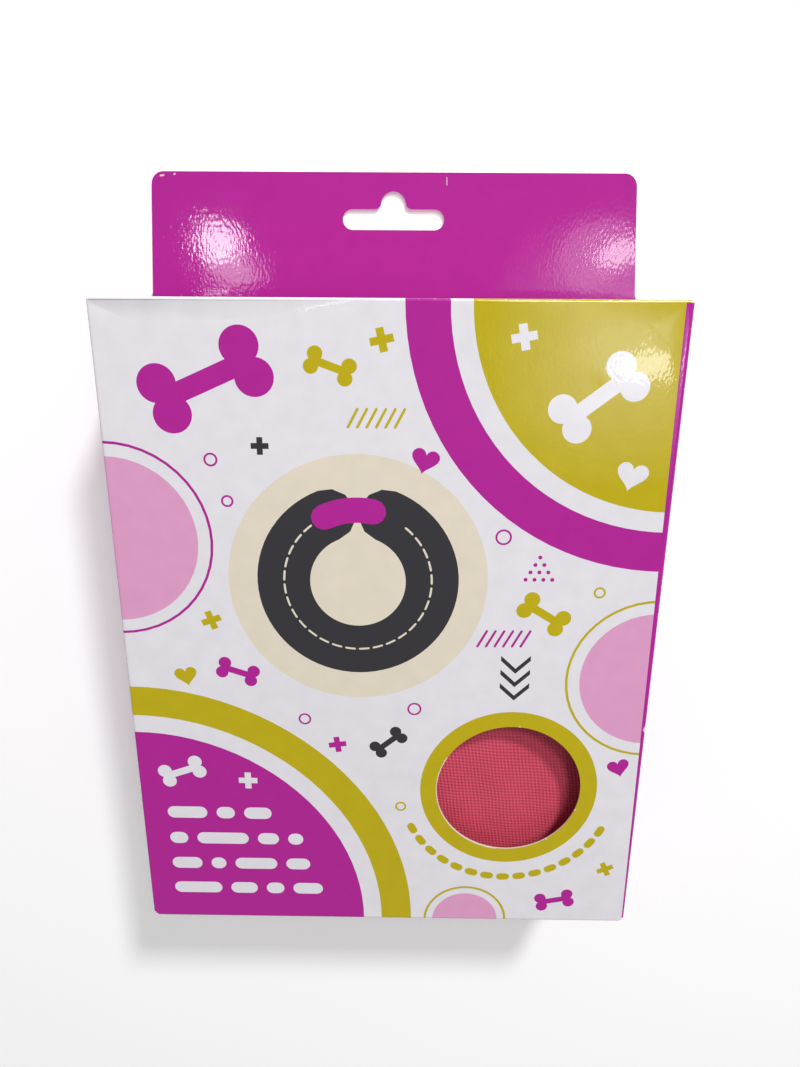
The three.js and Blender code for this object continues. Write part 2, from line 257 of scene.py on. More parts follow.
@dataclass(frozen=True)
class WovenCloth:
    """Plain-woven synthetic cloth of thick yarn: ribs of warp with the weft dipping between them, matt and dense.

    It reads the piece's own UV map, which lies on the flat pattern of the cloth in metres.
    """

    name: str
    # The two tones: the lighter is painted light on the tops of the yarns, the darker painted shade in the dips
    # between them.
    painted_light_crest: str
    painted_shade_valley: str
    warp_mm: float = 1.13
    weft_mm: float = 1.2
    step: float = 0.24
    dip: float = 0.75
    turn_degrees: float = 8.0
    height_mm: float = 0.13
    sway_mm: float = 0.9
    sway_length_mm: float = 16.0
    fuzz_mm: float = 0.25
    fuzz_height_mm: float = 0.02
    patch_mm: float = 9.0
    patch_contrast: float = 0.35
    patch_shift: float = -0.17

    def build(self) -> bpy.types.Material:
        """Makes the material.

        Returns:
            The finished material.
        """
        recipe = Recipe(self.name, Roughness=0.72, IOR=1.5, Sheen_Weight=0.25, Sheen_Roughness=0.4)
        recipe.shader.inputs["Sheen Tint"].default_value = linear("#FFD9DF")
        uv = recipe.add("UVMap", {"uv_map": "weave"}).outputs["UV"]
        sway = recipe.add("TexNoise", {"Scale": 1 / (self.sway_length_mm * MM), "Detail": 1.0}, {"Vector": uv})
        scaled = {"operation": "SCALE", "Scale": self.sway_mm * MM}
        drift = recipe.add("VectorMath", scaled, {0: sway.outputs["Color"]})
        moved = recipe.add("VectorMath", {"operation": "ADD"}, {0: uv, 1: drift.outputs[0]})
        turn = (0, 0, math.radians(-self.turn_degrees))
        laid = recipe.add("Mapping", {"Rotation": turn}, {"Vector": moved.outputs[0]})
        axes = recipe.add("SeparateXYZ", {}, {0: laid.outputs[0]})

        def counted(axis: str, pitch_mm: float) -> Socket:
            """How many yarns lie up to here, along an axis."""
            return recipe.maths("DIVIDE", {1: pitch_mm * MM}, {0: axes.outputs[axis]})

        def wave(phase: Socket) -> Socket:
            """A level from 0 to 1 that rises and falls once for each yarn."""
            sine = recipe.maths("SINE", {}, {0: recipe.maths("MULTIPLY", {1: 2 * math.pi}, {0: phase})})
            return recipe.add("MapRange", {"From Min": -1.0}, {"Value": sine}).outputs[0]

        warp, weft = counted("X", self.warp_mm), counted("Y", self.weft_mm)
        shifted = recipe.maths("MULTIPLY_ADD", {1: self.step}, {0: warp, 2: weft})
        height = recipe.maths("MULTIPLY_ADD", {1: self.dip}, {0: wave(shifted), 2: wave(warp)})
        level = recipe.add("MapRange", {"From Max": 1 + self.dip}, {"Value": height}).outputs[0]
        patchy = recipe.grain(uv, self.patch_mm, 3.0)
        uneven = recipe.maths("MULTIPLY_ADD", {1: self.patch_contrast, 2: self.patch_shift}, {0: patchy})
        toned = recipe.maths("ADD", {"use_clamp": True}, {0: level, 1: uneven})
        # Painted light and shade: the colour runs from the darker tone in the dips to the lighter on the yarns'
        # tops, by the height that also drives the relief, with random patches over it.
        recipe.feed("Base Color", recipe.mix(toned, self.painted_shade_valley, self.painted_light_crest))
        fuzz = recipe.relief(recipe.grain(uv, self.fuzz_mm, 2.0), self.fuzz_height_mm, 0.6)
        recipe.feed("Normal", recipe.relief(height, self.height_mm, 0.9, fuzz))
        return recipe.material


@dataclass(frozen=True)
class Mottled:
    """A finish with two near tones and a fine relief in one noise, which the plain materials share."""

    name: str
    low: str
    high: str
    grain_mm: float
    detail: float
    relief_mm: float = 0.0
    strength: float = 1.0
    roughness: float = 0.5
    sockets: Sockets = ()

    def build(self) -> bpy.types.Material:
        """Makes the material.

        Returns:
            The finished material.
        """
        recipe = Recipe(self.name, **dict(self.sockets))
        pattern = recipe.grain(recipe.place(), self.grain_mm, self.detail, self.roughness)
        recipe.feed("Base Color", recipe.mix(pattern, self.low, self.high))
        if self.relief_mm:
            recipe.feed("Normal", recipe.relief(pattern, self.relief_mm, self.strength))
        return recipe.material


@dataclass(frozen=True)
class BareBoard(Mottled):
    """Uncoated folding board, as the inside and the cut edges show it: off-white, matt and faintly fibrous."""

    name: str = "bare_board"
    low: str = "#D9D1C0"
    high: str = "#EDE7D9"
    grain_mm: float = 0.8
    detail: float = 6.0
    relief_mm: float = 0.02
    roughness: float = 0.7
    sockets: Sockets = (("Roughness", 0.85), ("IOR", 1.45))


@dataclass(frozen=True)
class WeldedFilm(Mottled):
    """Soft plastic film, calendered and a little hazy, with the cloudy look of a let-down air bladder."""

    name: str = "welded_film"
    low: str = "#C9CBC6"
    high: str = "#E4E5E0"
    grain_mm: float = 7.0
    detail: float = 4.0
    relief_mm: float = 0.15
    strength: float = 0.8
    sockets: Sockets = (
        ("Roughness", 0.35),
        ("IOR", 1.53),
        ("Transmission_Weight", 0.25),
        ("Coat_Weight", 0.3),
        ("Coat_Roughness", 0.2),
    )


@dataclass(frozen=True)
class MouldedVinyl(Mottled):
    """Soft moulded plastic of the valve: satin, with a faint pitted skin from its mould."""

    name: str = "moulded_vinyl"
    low: str = "#DDDAD0"
    high: str = "#EFEDE6"
    grain_mm: float = 0.5
    detail: float = 3.0
    relief_mm: float = 0.01
    strength: float = 0.7
    sockets: Sockets = (
        ("Roughness", 0.38),
        ("IOR", 1.53),
        ("Subsurface_Weight", 0.1),
        ("Subsurface_Scale", 0.002),
    )


@dataclass(frozen=True)
class SewingThread(Mottled):
    """Twisted polyester thread with a soft sheen; its colour goes between a darker and a lighter tone in fine noise,
    as painted shade and painted shine.
    """

    grain_mm: float = 0.3
    detail: float = 2.0
    sockets: Sockets = (("Roughness", 0.55), ("IOR", 1.5), ("Sheen_Weight", 0.3))


@dataclass(frozen=True)
class StudioPaper(Mottled):
    """Smooth white background paper, matt and even, lit from below a little as on a light table."""

    name: str = "studio_paper"
    low: str = "#FBFBFB"
    high: str = "#FFFFFF"
    grain_mm: float = 1000 / 3
    detail: float = 2.0
    sockets: Sockets = (
        ("Roughness", 0.95),
        ("IOR", 1.3),
        ("Emission_Strength", 0.12),
        ("Emission_Color", linear("#FFFFFF")),
    )


@dataclass(frozen=True)
class LoopTape:
    """Woven tape with a pile of fine loops, as on a hook-and-loop fastening: dark, matt and slightly furry."""

    loop_mm: float = 0.7
    pile_mm: float = 0.3

    def build(self) -> bpy.types.Material:
        """Makes the material.

        Returns:
            The finished material.
        """
        recipe = Recipe("loop_tape", Roughness=0.9, IOR=1.5, Sheen_Weight=0.6, Sheen_Roughness=0.5)
        settings = {"Scale": 1 / (self.loop_mm * MM), "Randomness": 0.9}
        loops = recipe.add("TexVoronoi", settings, {"Vector": recipe.place()}).outputs["Distance"]
        # Painted shade: the pile is darker between the loops, where the relief goes deeper, and lighter at their
        # middles.
        recipe.feed("Base Color", recipe.mix(loops, "#3A3A3F", "#17171A"))
        recipe.feed("Normal", recipe.relief(loops, self.pile_mm, invert=True))
        return recipe.material


def activate(piece: bpy.types.Object) -> None:
    """Makes a piece the only selected and the active one.

    Args:
        piece: The piece.
    """
    bpy.ops.object.select_all(action="DESELECT")
    piece.select_set(True)
    bpy.context.view_layer.objects.active = piece


def add_piece(name: str, mesh: bpy.types.Mesh) -> bpy.types.Object:
    """Puts a mesh in the scene as the active piece.

    Args:
        name: The piece's name.
        mesh: Its mesh.

    Returns:
        The piece.
    """
    piece = bpy.data.objects.new(name, mesh)
    bpy.context.collection.objects.link(piece)
    activate(piece)
    return piece


def add_primitive(name: str, add: Callable[..., object], **settings: object) -> bpy.types.Object:
    """Starts a piece from one of the mesh primitives.

    Args:
        name: The piece's name.
        add: The operator that adds the primitive.
        settings: Its settings.

    Returns:
        The piece, active, with its origin at zero.
    """
    bpy.ops.object.select_all(action="DESELECT")
    add(**settings)
    piece = bpy.context.object
    piece.name = name
    bpy.ops.object.transform_apply(location=True)
    return piece


def edit_all(step: Callable[..., object], **settings: object) -> None:
    """Runs one edit-mode step on the whole of the active piece.

    Args:
        step: The operator.
        settings: Its settings.
    """
    bpy.ops.object.mode_set(mode="EDIT")
    bpy.ops.mesh.select_all(action="SELECT")
    step(**settings)
    bpy.ops.object.mode_set(mode="OBJECT")


def apply_modifier(piece: bpy.types.Object, kind: str, **settings: object) -> None:
    """Adds a modifier to the active piece, sets it and applies it.

    Args:
        piece: The active piece.
        kind: The modifier's type.
        settings: Its properties by name.
    """
    modifier = piece.modifiers.new(kind.lower(), kind)
    for name, value in settings.items():
        setattr(modifier, name, value)
    bpy.ops.object.modifier_apply(modifier=modifier.name)


def round_edges(piece: bpy.types.Object, width_mm: float, segments: int, over_degrees: float) -> None:
    """Rounds the active piece's edges that are sharper than an angle."""
    sharp = math.radians(over_degrees)
    apply_modifier(piece, "BEVEL", width=width_mm * MM, segments=segments, limit_method="ANGLE", angle_limit=sharp)


def spread(low: float, high: float, pitch: float) -> list[float]:
    """Evenly spaced values between two ends, both included, about a pitch apart."""
    count = max(1, round((high - low) / pitch))
    return [low + (high - low) * step / count for step in range(count + 1)]


def middles(low: float, high: float, count: int) -> list[float]:
    """The middles of a number of equal stretches between two ends."""
    return [low + (high - low) * (number + 0.5) / count for number in range(count)]


def anticlockwise(outline: Sequence[Flat]) -> Outline:
    """Turns an outline so that its inside is on the left, as the triangulation needs it.

    Args:
        outline: The outline, either way round.

    Returns:
        The same outline, anticlockwise.
    """
    following = [*outline[1:], outline[0]]
    area = sum(a[0] * b[1] - b[0] * a[1] for a, b in zip(outline, following))
    return list(outline) if area > 0 else list(reversed(outline))


def on_circle(centre: Flat, radius: float, angle: float) -> Flat:
    """The point of a circle at an angle in degrees."""
    turn = math.radians(angle)
    return centre[0] + radius * math.cos(turn), centre[1] + radius * math.sin(turn)


def disc(centre: Flat, radius: float, steps: int = 48) -> Outline:
    """A round outline."""
    return [on_circle(centre, radius, 360 * step / steps) for step in range(steps)]


def arc(centre: Flat, radius: float, start: float, end: float, steps: int = 8) -> Outline:
    """Points on an arc, with its angles in degrees, both ends included."""
    return [on_circle(centre, radius, start + (end - start) * step / steps) for step in range(steps + 1)]


def arc_band(centre: Flat, inner: float, outer: float, start: float, end: float, steps: int = 40) -> Outline:
    """Draws a stretch of a ring with round ends.

    Args:
        centre: The ring's middle.
        inner: Its inner radius.
        outer: Its outer radius.
        start: The angle where it starts, in degrees.
        end: The angle where it ends.
        steps: Steps along each of its two arcs.

    Returns:
        The outline.
    """
    half = (outer - inner) / 2

    def cap(turn: float, opening: float) -> Outline:
        """The round end at an angle, from its first edge."""
        place = on_circle(centre, inner + half, turn)
        return arc(place, half, opening, opening + 180, 6)[1:-1]

    outside, inside = arc(centre, outer, start, end, steps), arc(centre, inner, end, start, steps)
    return [*outside, *cap(end, end), *inside, *cap(start, start + 180)]


def sector(centre: Flat, inner: float, outer: float, start: float, end: float) -> Outline:
    """A stretch of a ring, or of a disc if it has no inner radius, with straight ends."""
    inside = arc(centre, inner, end, start, 24) if inner else [centre]
    return [*arc(centre, outer, start, end, 32), *inside]


def block(low: Flat, high: Flat) -> Outline:
    """A rectangle between two corners."""
    return [low, (high[0], low[1]), high, (low[0], high[1])]


def mirrored(outline: Outline) -> Outline:
    """An outline's mirror image in the upright axis, followed backwards."""
    return [(-x, y) for x, y in outline[::-1]]


def turned(outline: Outline, place: Flat, angle: float) -> Outline:
    """An outline turned about zero by an angle in degrees and then moved to a place."""
    cosine, sine = math.cos(math.radians(angle)), math.sin(math.radians(angle))
    return [(place[0] + x * cosine - y * sine, place[1] + x * sine + y * cosine) for x, y in outline]


def pill(length: float, width: float) -> Outline:
    """A bar with round ends, along x, with its middle at zero."""
    reach = (length - width) / 2
    return [*arc((reach, 0), width / 2, -90, 90), *arc((-reach, 0), width / 2, 90, 270)]


def bone(length: float) -> Outline:
    """Draws a bone: a shaft with two round knobs at each end, along x, with its middle at zero.

    Args:
        length: Its length over the knobs.

    Returns:
        The outline.
    """
    knob, shaft = length * 0.15, length * 0.08
    middle = (length / 2 - knob, knob * 0.85)
    start = 180 + math.degrees(math.asin((middle[1] - shaft) / knob))
    cleft = -math.degrees(math.asin(middle[1] / knob))
    upper = arc(middle, knob, cleft, start, max(12, round(length)))
    lower = [(x, -y) for x, y in upper[::-1]]
    right = [*lower, *upper[1:]]
    return [*right, *[(-x, -y) for x, y in right]]


def heart(width: float) -> Outline:
    """Draws a heart, with its middle near zero.

    Args:
        width: Its width.

    Returns:
        The outline.
    """
    points = []
    for step in range(28):
        turn = 2 * math.pi * step / 28
        x = 16 * math.sin(turn) ** 3
        y = 13 * math.cos(turn) - 5 * math.cos(2 * turn) - 2 * math.cos(3 * turn) - math.cos(4 * turn)
        points.append((-x * width / 32, (y + 2) * width / 32))
    return points


def plus(width: float) -> Outline:
    """A plus sign with square ends, with its middle at zero."""
    corner = [(width / 2, -width / 6), (width / 2, width / 6), (width / 6, width / 6)]
    return [point for turn in range(4) for point in turned(corner, (0, 0), 90 * turn)]


def chevron(width: float, stroke: float) -> Outline:
    """A V with its tip down, with its middle at zero."""
    lower = [(-width / 2, width * 0.32), (0, -width * 0.16), (width / 2, width * 0.32)]
    return [*lower, *[(x, y + stroke) for x, y in lower[::-1]]]


class Patch(NamedTuple):
    """One printed region: an outline in one ink, over those before it, with an open middle or none."""

    ink: Ink
    outline: Outline
    middle: Outline = []


def ring(ink: Ink, centre: Flat, outer: float, inner: float, steps: int = 48) -> Patch:
    """A printed ring."""
    return Patch(ink, disc(centre, outer, steps), disc(centre, inner, steps))


class Turn(NamedTuple):
    """One crease of a flap: where it starts along the flap, its radius, and how far it turns."""

    start: float
    radius: float
    degrees: float

    @property
    def length(self) -> float:
        """Board that the crease takes up."""
        return self.radius * math.radians(self.degrees)


def bend(distance: float, turns: Sequence[Turn]) -> tuple[float, float, float]:
    """Follows a flap over its creases.

    Args:
        distance: Board from the flap's start, in millimetres.
        turns: The flap's creases in order.

    Returns:
        How far on and how far in the flap has gone, and how much a crease has rubbed there, from 0 to 1.
    """
    on = inward = heading = covered = rub = 0.0
    for turn in turns:
        if distance <= turn.start:
            break
        straight = turn.start - covered
        on += math.cos(heading) * straight
        inward += math.sin(heading) * straight
        swept = min(distance - turn.start, turn.length) / turn.radius
        on += turn.radius * (math.sin(heading + swept) - math.sin(heading))
        inward += turn.radius * (math.cos(heading) - math.cos(heading + swept))
        heading += swept
        covered = min(distance, turn.start + turn.length)
        if distance < turn.start + turn.length:
            rub = math.sin(math.pi * (distance - turn.start) / turn.length)
    rest = distance - covered
    return on + math.cos(heading) * rest, inward + math.sin(heading) * rest, rub


class Folded(NamedTuple):
    """Where a point of the blank comes to lie, in millimetres, and how much it has rubbed there."""

    place: Vector
    wear: float


@dataclass
class Blank:
    """A die-cut sheet of board, drawn flat in millimetres and folded up.

    It is triangulated along the outlines of its print, so that each ink ends in a clean line at any distance.
    """

    name: str
    outline: Outline
    fold: Callable[[float, float], Folded]
    patches: Sequence[Patch] = ()
    holes: Sequence[Outline] = ()
    guides: Sequence[Outline] = ()
    dots: Sequence[Flat] = ()
    board: float = 0.5
    ground: Ink = Ink.WHITE
    same_point: float = 1e-3
    smooth_under: float = 38.0

    def cut(self) -> tuple[list[Vector], list[list[int]], list[Ink]]:
        """Triangulates the flat sheet along its outline, holes, print and guides.

        Returns:
            The points, the triangles, and the ink of each triangle.
        """
        points: list[Vector] = []
        edges: list[tuple[int, int]] = []
        faces: list[list[int]] = []

        def take(outline: Sequence[Flat]) -> list[int]:
            """Adds points and returns their numbers."""
            points.extend(Vector(point) for point in outline)
            return list(range(len(points) - len(outline), len(points)))

        def take_face(outline: Sequence[Flat]) -> int:
            """Adds a closed outline and returns its number."""
            faces.append(take(anticlockwise(outline)))
            return len(faces) - 1

        take_face(self.outline)
        cut_out = {take_face(hole) for hole in self.holes}
        printed = []
        for patch in self.patches:
            face = take_face(patch.outline)
            printed.append((patch.ink, face, take_face(patch.middle) if patch.middle else None))
        for guide in self.guides:
            numbers = take(guide)
            edges.extend(zip(numbers, numbers[1:]))
        take(self.dots)
        flat, _, triangles, _, _, sources = delaunay_2d_cdt(points, edges, faces, 1, self.same_point, True)

        kept, inks = [], []
        for triangle, source in zip(triangles, sources):
            if 0 not in source or cut_out.intersection(source):
                continue
            over = [ink for ink, face, middle in printed if face in source and middle not in source]
            kept.append(triangle)
            inks.append(over[-1] if over else self.ground)
        return flat, kept, inks

    def build(self, inks: dict[Ink, bpy.types.Material], bare: bpy.types.Material) -> bpy.types.Object:
        """Folds the blank and gives the board its thickness.

        Args:
            inks: The material of each ink.
            bare: The material of the inside and the cut edges.

        Returns:
            The folded piece.
        """
        flat, triangles, printed = self.cut()
        folded = [self.fold(point.x, point.y) for point in flat]
        order = list(inks)
        mesh = bpy.data.meshes.new(self.name)
        mesh.from_pydata([where.place * MM for where in folded], [], triangles)
        for material in (*inks.values(), bare):
            mesh.materials.append(material)
        mesh.polygons.foreach_set("material_index", [order.index(ink) for ink in printed])
        wear = mesh.attributes.new("wear", "FLOAT", "POINT")
        wear.data.foreach_set("value", [where.wear for where in folded])
        piece = add_piece(self.name, mesh)
        edit_all(bpy.ops.mesh.delete_loose)
        apply_modifier(piece, "SOLIDIFY", thickness=self.board * MM, offset=-1, use_even_offset=True)
        for face in piece.data.polygons[len(triangles) :]:
            face.material_index = len(order)
        bpy.ops.object.shade_smooth_by_angle(angle=math.radians(self.smooth_under))
        return piece


@dataclass
class FrontPrint:
    """The printed design: quarter rings in two corners, a ring figure on a disc, and small scattered figures."""

    half_width: float
    low: float
    high: float
    window: Flat
    window_ring: float = 28.3
    corner_steps: int = 96
    figure_centre: Flat = (-9.0, 4.0)
    dash_width: float = 4.4
    dash_gap: float = 3.0
    dash_start: float = -72.0
    arrow_gap: float = 5.5
    arrow_pitch: float = 4.6
    cut_edge: float = 22.9
    nick: float = 0.34
    hairline: float = 0.6

    def corner_rings(self) -> list[Patch]:
        """Draws the rings about two opposite corners, and the half discs on the sides and at the foot.

        Returns:
            The patches.
        """
        upper, lower = (self.half_width, self.high), (-self.half_width, self.low)
        left, right = (-self.half_width, self.high - 68), (self.half_width, self.low + 92)
        base = (26.0, self.low)
        steps = self.corner_steps
        return [
            Patch(Ink.PINK, disc(left, 25)),
            ring(Ink.MAGENTA, left, 29.4, 28.6),
            Patch(Ink.PINK, disc(right, 22)),
            ring(Ink.OLIVE, right, 26.4, 25.6),
            ring(Ink.MAGENTA, upper, 76, 64, steps),
            Patch(Ink.OLIVE, disc(upper, 58, steps)),
            ring(Ink.OLIVE, lower, 88, 78, steps),
            Patch(Ink.MAGENTA, disc(lower, 72, steps)),
            Patch(Ink.PINK, disc(base, 11)),
            ring(Ink.OLIVE, base, 14, 13.2),
        ]

    def ring_figure(self) -> list[Patch]:
        """Draws an open ring on a cream disc, with a dashed seam and a strap over its gap.

        Returns:
            The patches.
        """
        centre = self.figure_centre
        seam = [Patch(Ink.CREAM, arc_band(centre, 21.3, 21.9, start, start + 7, 3)) for start in range(128, 412, 11)]
        return [
            Patch(Ink.CREAM, disc(centre, 38, self.corner_steps)),
            Patch(Ink.CHARCOAL, arc_band(centre, 14, 29.5, 112, 428, 64)),
            *seam,
            Patch(Ink.MAGENTA, arc_band(centre, 18, 25.5, 78, 116, 10)),
        ]

    def dash_rows(self) -> list[Patch]:
        """Draws rows of round-ended white dashes on the lower disc.

        Returns:
            The patches.
        """
        rows = {-77.5: (13, 6, 9), -87.5: (6, 17, 7, 5), -97.5: (10, 5, 14, 8), -107.5: (16, 9, 6, 10)}
        patches = []
        for height, lengths in rows.items():
            at = self.dash_start
            for length in lengths:
                dash = pill(length, self.dash_width)
                patches.append(Patch(Ink.WHITE, turned(dash, (at + length / 2, height), 0)))
                at += length + self.dash_gap
        return patches

    def window_surround(self) -> list[Patch]:
        """Draws the plain ring round the window, a pale band by its cut edge on the lower left, partly bare board
        and partly painted highlight, nicks, dashes and arrowheads.

        Returns:
            The patches.
        """
        x, y = self.window
        ragged = (84, 153, 166, 305, 341)
        nicks = [on_circle(self.window, self.cut_edge + 0.2, turn) for turn in ragged]
        arrows = [(x, y + self.window_ring + self.arrow_gap + self.arrow_pitch * step) for step in range(3)]
        return [
            Patch(Ink.OLIVE, disc(self.window, self.window_ring, self.corner_steps)),
            *[Patch(Ink.OLIVE, arc_band(self.window, 33, 35.6, turn, turn + 3, 3)) for turn in range(205, 337, 9)],
            # Bare board colour beside the cut edge, drawn only on the lower left where the edge catches the light:
            # partly the board's own colour, partly painted highlight.
            Patch(Ink.CREAM, arc_band(self.window, self.cut_edge, self.cut_edge + 0.38, 150, 262, 40)),
            *[Patch(Ink.CREAM, disc(place, self.nick, 8)) for place in nicks],
            *[Patch(Ink.CHARCOAL, turned(chevron(9, 1.7), place, 0)) for place in arrows],
        ]

    def small_figures(self) -> list[Patch]:
        """Draws bones, hearts, plus signs, circles, stripes and dots on the open ground.

        Returns:
            The patches.
        """
        figures = [
            Patch(ink, turned(shape(size), place, angle))
            for ink, shape, size, place, angle in (
                (Ink.MAGENTA, bone, 36, (-50, 62), 24),
                (Ink.OLIVE, bone, 14, (-16, 66), -20),
                (Ink.OLIVE, plus, 6.5, (-2, 73), 12),
                (Ink.MAGENTA, heart, 8, (10, 40), -14),
                (Ink.OLIVE, bone, 16, (46, -6), -32),
                (Ink.OLIVE, plus, 6, (-53, -9), 20),
                (Ink.MAGENTA, bone, 13, (-46, -26), -18),
                (Ink.MAGENTA, heart, 7, (73, -59), 16),
                (Ink.CHARCOAL, plus, 5, (-36, 44), 0),
                (Ink.OLIVE, heart, 7, (-62, -28), 10),
                (Ink.CHARCOAL, bone, 12, (0, -50), 40),
                (Ink.MAGENTA, plus, 5.5, (-16, -51), 8),
                (Ink.MAGENTA, bone, 13, (56, -111), 12),
                (Ink.OLIVE, plus, 5.5, (72, -98), 24),
                (Ink.WHITE, bone, 27, (57, 58), 38),
                (Ink.WHITE, plus, 7, (36, 74), 10),
                (Ink.WHITE, heart, 9, (68, 36), -12),
                (Ink.WHITE, bone, 15, (-66, -62), 20),
                (Ink.WHITE, plus, 6, (-45, -65), 0),
            )
        ]
        figures += [
            ring(ink, place, radius, radius - self.hairline, 24)
            for place, radius, ink in (
                ((-50, 40), 2.0, Ink.MAGENTA),
                ((33, 18), 2.4, Ink.MAGENTA),
                ((62, 1), 1.8, Ink.OLIVE),
                ((-46, 28), 1.8, Ink.MAGENTA),
                ((8, -38), 2.2, Ink.MAGENTA),
                ((4, -74), 1.8, Ink.OLIVE),
                ((-26, -42), 2.0, Ink.MAGENTA),
            )
        ]
        stripe = pill(6.4, 0.75)
        for start, ink in (((-10, 52), Ink.OLIVE), ((28, -14), Ink.MAGENTA)):
            figures += [Patch(ink, turned(stripe, (start[0] + 2.6 * step, start[1]), 62)) for step in range(6)]
        for row in range(4):
            places = ((40 + 2.6 * column + 1.3 * row, 5 + 2.3 * row) for column in range(4 - row))
            figures += [Patch(Ink.MAGENTA, disc(place, 0.62, 10)) for place in places]
        return figures

    def patches(self) -> list[Patch]:
        """The whole design, from the ground up."""
        large = [*self.corner_rings(), *self.ring_figure(), *self.dash_rows()]
        return [*large, *self.window_surround(), *self.small_figures()]


@dataclass
class Carton:
    """The folded blank with its window, header, dust flaps and bottom, its glued panel, and its lid.

    Lengths are in millimetres. Width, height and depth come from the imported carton. On the blank, across runs over
    the board from the middle of the front to the right, and up runs along the carton's height.
    """

    width: float
    depth: float
    low: float
    lid_level: float
    top: float
    window: Flat
    slot: Flat
    board: float = 0.5
    crease: float = 0.8
    flap_crease: float = 0.7
    crease_margin: float = 0.4
    tab_share: float = 0.65
    arc_steps: int = 4
    window_radius: float = 23.0
    header_inset: float = 2.0
    header_taper: float = 2.45
    header_corner: float = 4.0
    slot_arm_radius: float = 3.05
    slot_arm_reach: float = 12.95
    slot_hump: float = 3.9
    slot_hump_level: float = 7.4
    slot_flare: float = 2.0
    dust_flap_length: float = 46.0
    dust_flap_taper: float = 11.0
    dust_flap_back: float = 7.2
    dust_flap_front: float = 2.1
    dust_flap_drop: float = 0.9
    dust_flap_sag: float = 4.0
    lid_side_gap: float = 0.5
    lid_back: float = 1.5
    lid_sag: float = 1.6
    tuck_length: float = 14.0
    tuck_inset: float = 1.5
    tuck_taper: float = 3.0
    tuck_corner: float = 7.0
    tuck_lean: float = 10.0
    bottom_gap: float = 0.6
    panel_gap: float = 0.6
    panel_low: float = 3.0
    bulge: float = 0.9
    side_bulge: float = 0.35
    slack: float = 0.12
    slack_length: Flat = (42.0, 48.0)
    dent: float = 0.4
    dent_place: Flat = (73.0, 77.6)
    dent_reach: Flat = (2.6, 2.1)
    foot_wear: float = 0.6
    wall_pitch: float = 5.5
    side_pitch: float = 9.0
    crease_pitch: float = 5.0
    flap_pitch: float = 6.0
    bleed: float = 9.0
    print_turn_in: float = 3.0
    strip_low: float = 0.8
    strip_high: float = 2.3
    inks: dict[Ink, bpy.types.Material] = field(init=False)
    bare: bpy.types.Material = field(init=False)
    art: list[Patch] = field(init=False)

    def __post_init__(self) -> None:
        """Works out where the panels meet on the flat blank."""
        self.flat_half = self.width / 2 - self.crease
        self.crease_length = self.crease * math.pi / 2
        self.side_start = self.flat_half + self.crease_length
        self.tab_half = self.flat_half + self.tab_share * self.crease_length
        self.side_end = self.side_start + self.depth - 2 * self.crease
        self.back_start = self.side_end + self.crease_length
        self.back_end = self.back_start + 2 * self.flat_half
        # The sides stop below the lid by twice the drop, which leaves room for the lid's sag
        self.side_top = self.lid_level - 2 * self.dust_flap_drop - self.flap_crease
        self.side_low = self.low + self.dust_flap_drop + self.flap_crease
        self.front_top = self.lid_level - self.flap_crease
        self.front_low = self.low + self.flap_crease
        self.flap_near = self.side_start + self.dust_flap_front - self.crease
        self.flap_far = self.side_start + self.depth - self.crease - self.dust_flap_back
        self.inks = {ink: LaminatedInk(ink).build() for ink in Ink}
        self.bare = BareBoard().build()
        self.art = FrontPrint(self.width / 2, self.low, self.lid_level, self.window).patches()

    def around(self, across: float) -> tuple[float, float, float, float, float]:
        """Follows the blank round the four walls.

        Args:
            across: Distance over the board from the middle of the front, to the right.

        Returns:
            X, Z, the X and Z of the outward direction, and how much a crease has rubbed there.
        """
        side, distance = math.copysign(1, across), abs(across)
        half, radius = self.flat_half, self.crease
        if distance <= half:
            return across, self.depth, 0, 1, 0
        if self.side_start < distance <= self.side_end:
            return side * self.width / 2, self.depth - radius - (distance - self.side_start), side, 0, 0
        if distance > self.back_start:
            return side * (half - (distance - self.back_start)), 0, 0, -1, 0
        at_front = distance <= self.side_start
        turn = (distance - (half if at_front else self.side_end)) / radius
        sine, cosine = math.sin(turn), math.cos(turn)
        wear = math.sin(2 * turn)
        if at_front:
            return side * (half + radius * sine), self.depth - radius + radius * cosine, side * sine, cosine, wear
        return side * (half + radius * cosine), radius - radius * sine, side * cosine, -sine, wear

    def swell(self, across: float, up: float) -> float:
        """How far a wall stands out: the soft contents push the front out, and one corner is dented.

        Args:
            across: Distance over the board from the middle of the front.
            up: Level along the carton.

        Returns:
            The distance outward.
        """
        rise = (up - self.low) / (self.lid_level - self.low)
        if not 0 < rise < 1:
            return 0
        distance, crown = abs(across), math.sin(math.pi * rise)
        if distance < self.flat_half:
            share = math.cos(math.pi / 2 * across / self.flat_half)
            ripple = noise.noise(Vector((across / self.slack_length[0], up / self.slack_length[1], 3.7)))
            slack = self.slack * ripple * min(1, 6 * share) * crown
            (x, y), (reach_x, reach_y) = self.dent_place, self.dent_reach
            away = math.hypot((across - x) / reach_x, (up - y) / reach_y)
            return self.bulge * (share * crown) ** 2 + slack - self.dent * math.exp(-away * away)
        if self.side_start < distance < self.side_end:
            share = math.sin(math.pi * (distance - self.side_start) / (self.side_end - self.side_start))
            return self.side_bulge * (share * crown) ** 1.5
        return 0

    def flap_turns(self, level: float) -> list[Turn]:
        """Sets out the creases of a flap.

        Args:
            level: The level of the blank where the flap starts.

        Returns:
            One crease for a dust flap, and two for the lid and the bottom with their tucks.
        """
        if level not in (self.front_top, self.front_low):
            return [Turn(0, self.flap_crease, 90 + (self.dust_flap_sag if level == self.side_top else 0))]
        sag, lean = (self.lid_sag, self.tuck_lean) if level == self.front_top else (0, 0)
        panel = self.depth - self.lid_back - 2 * self.flap_crease
        first = Turn(0, self.flap_crease, 90 + sag)
        return [first, Turn(first.length + panel, self.flap_crease, 90 + lean - sag)]

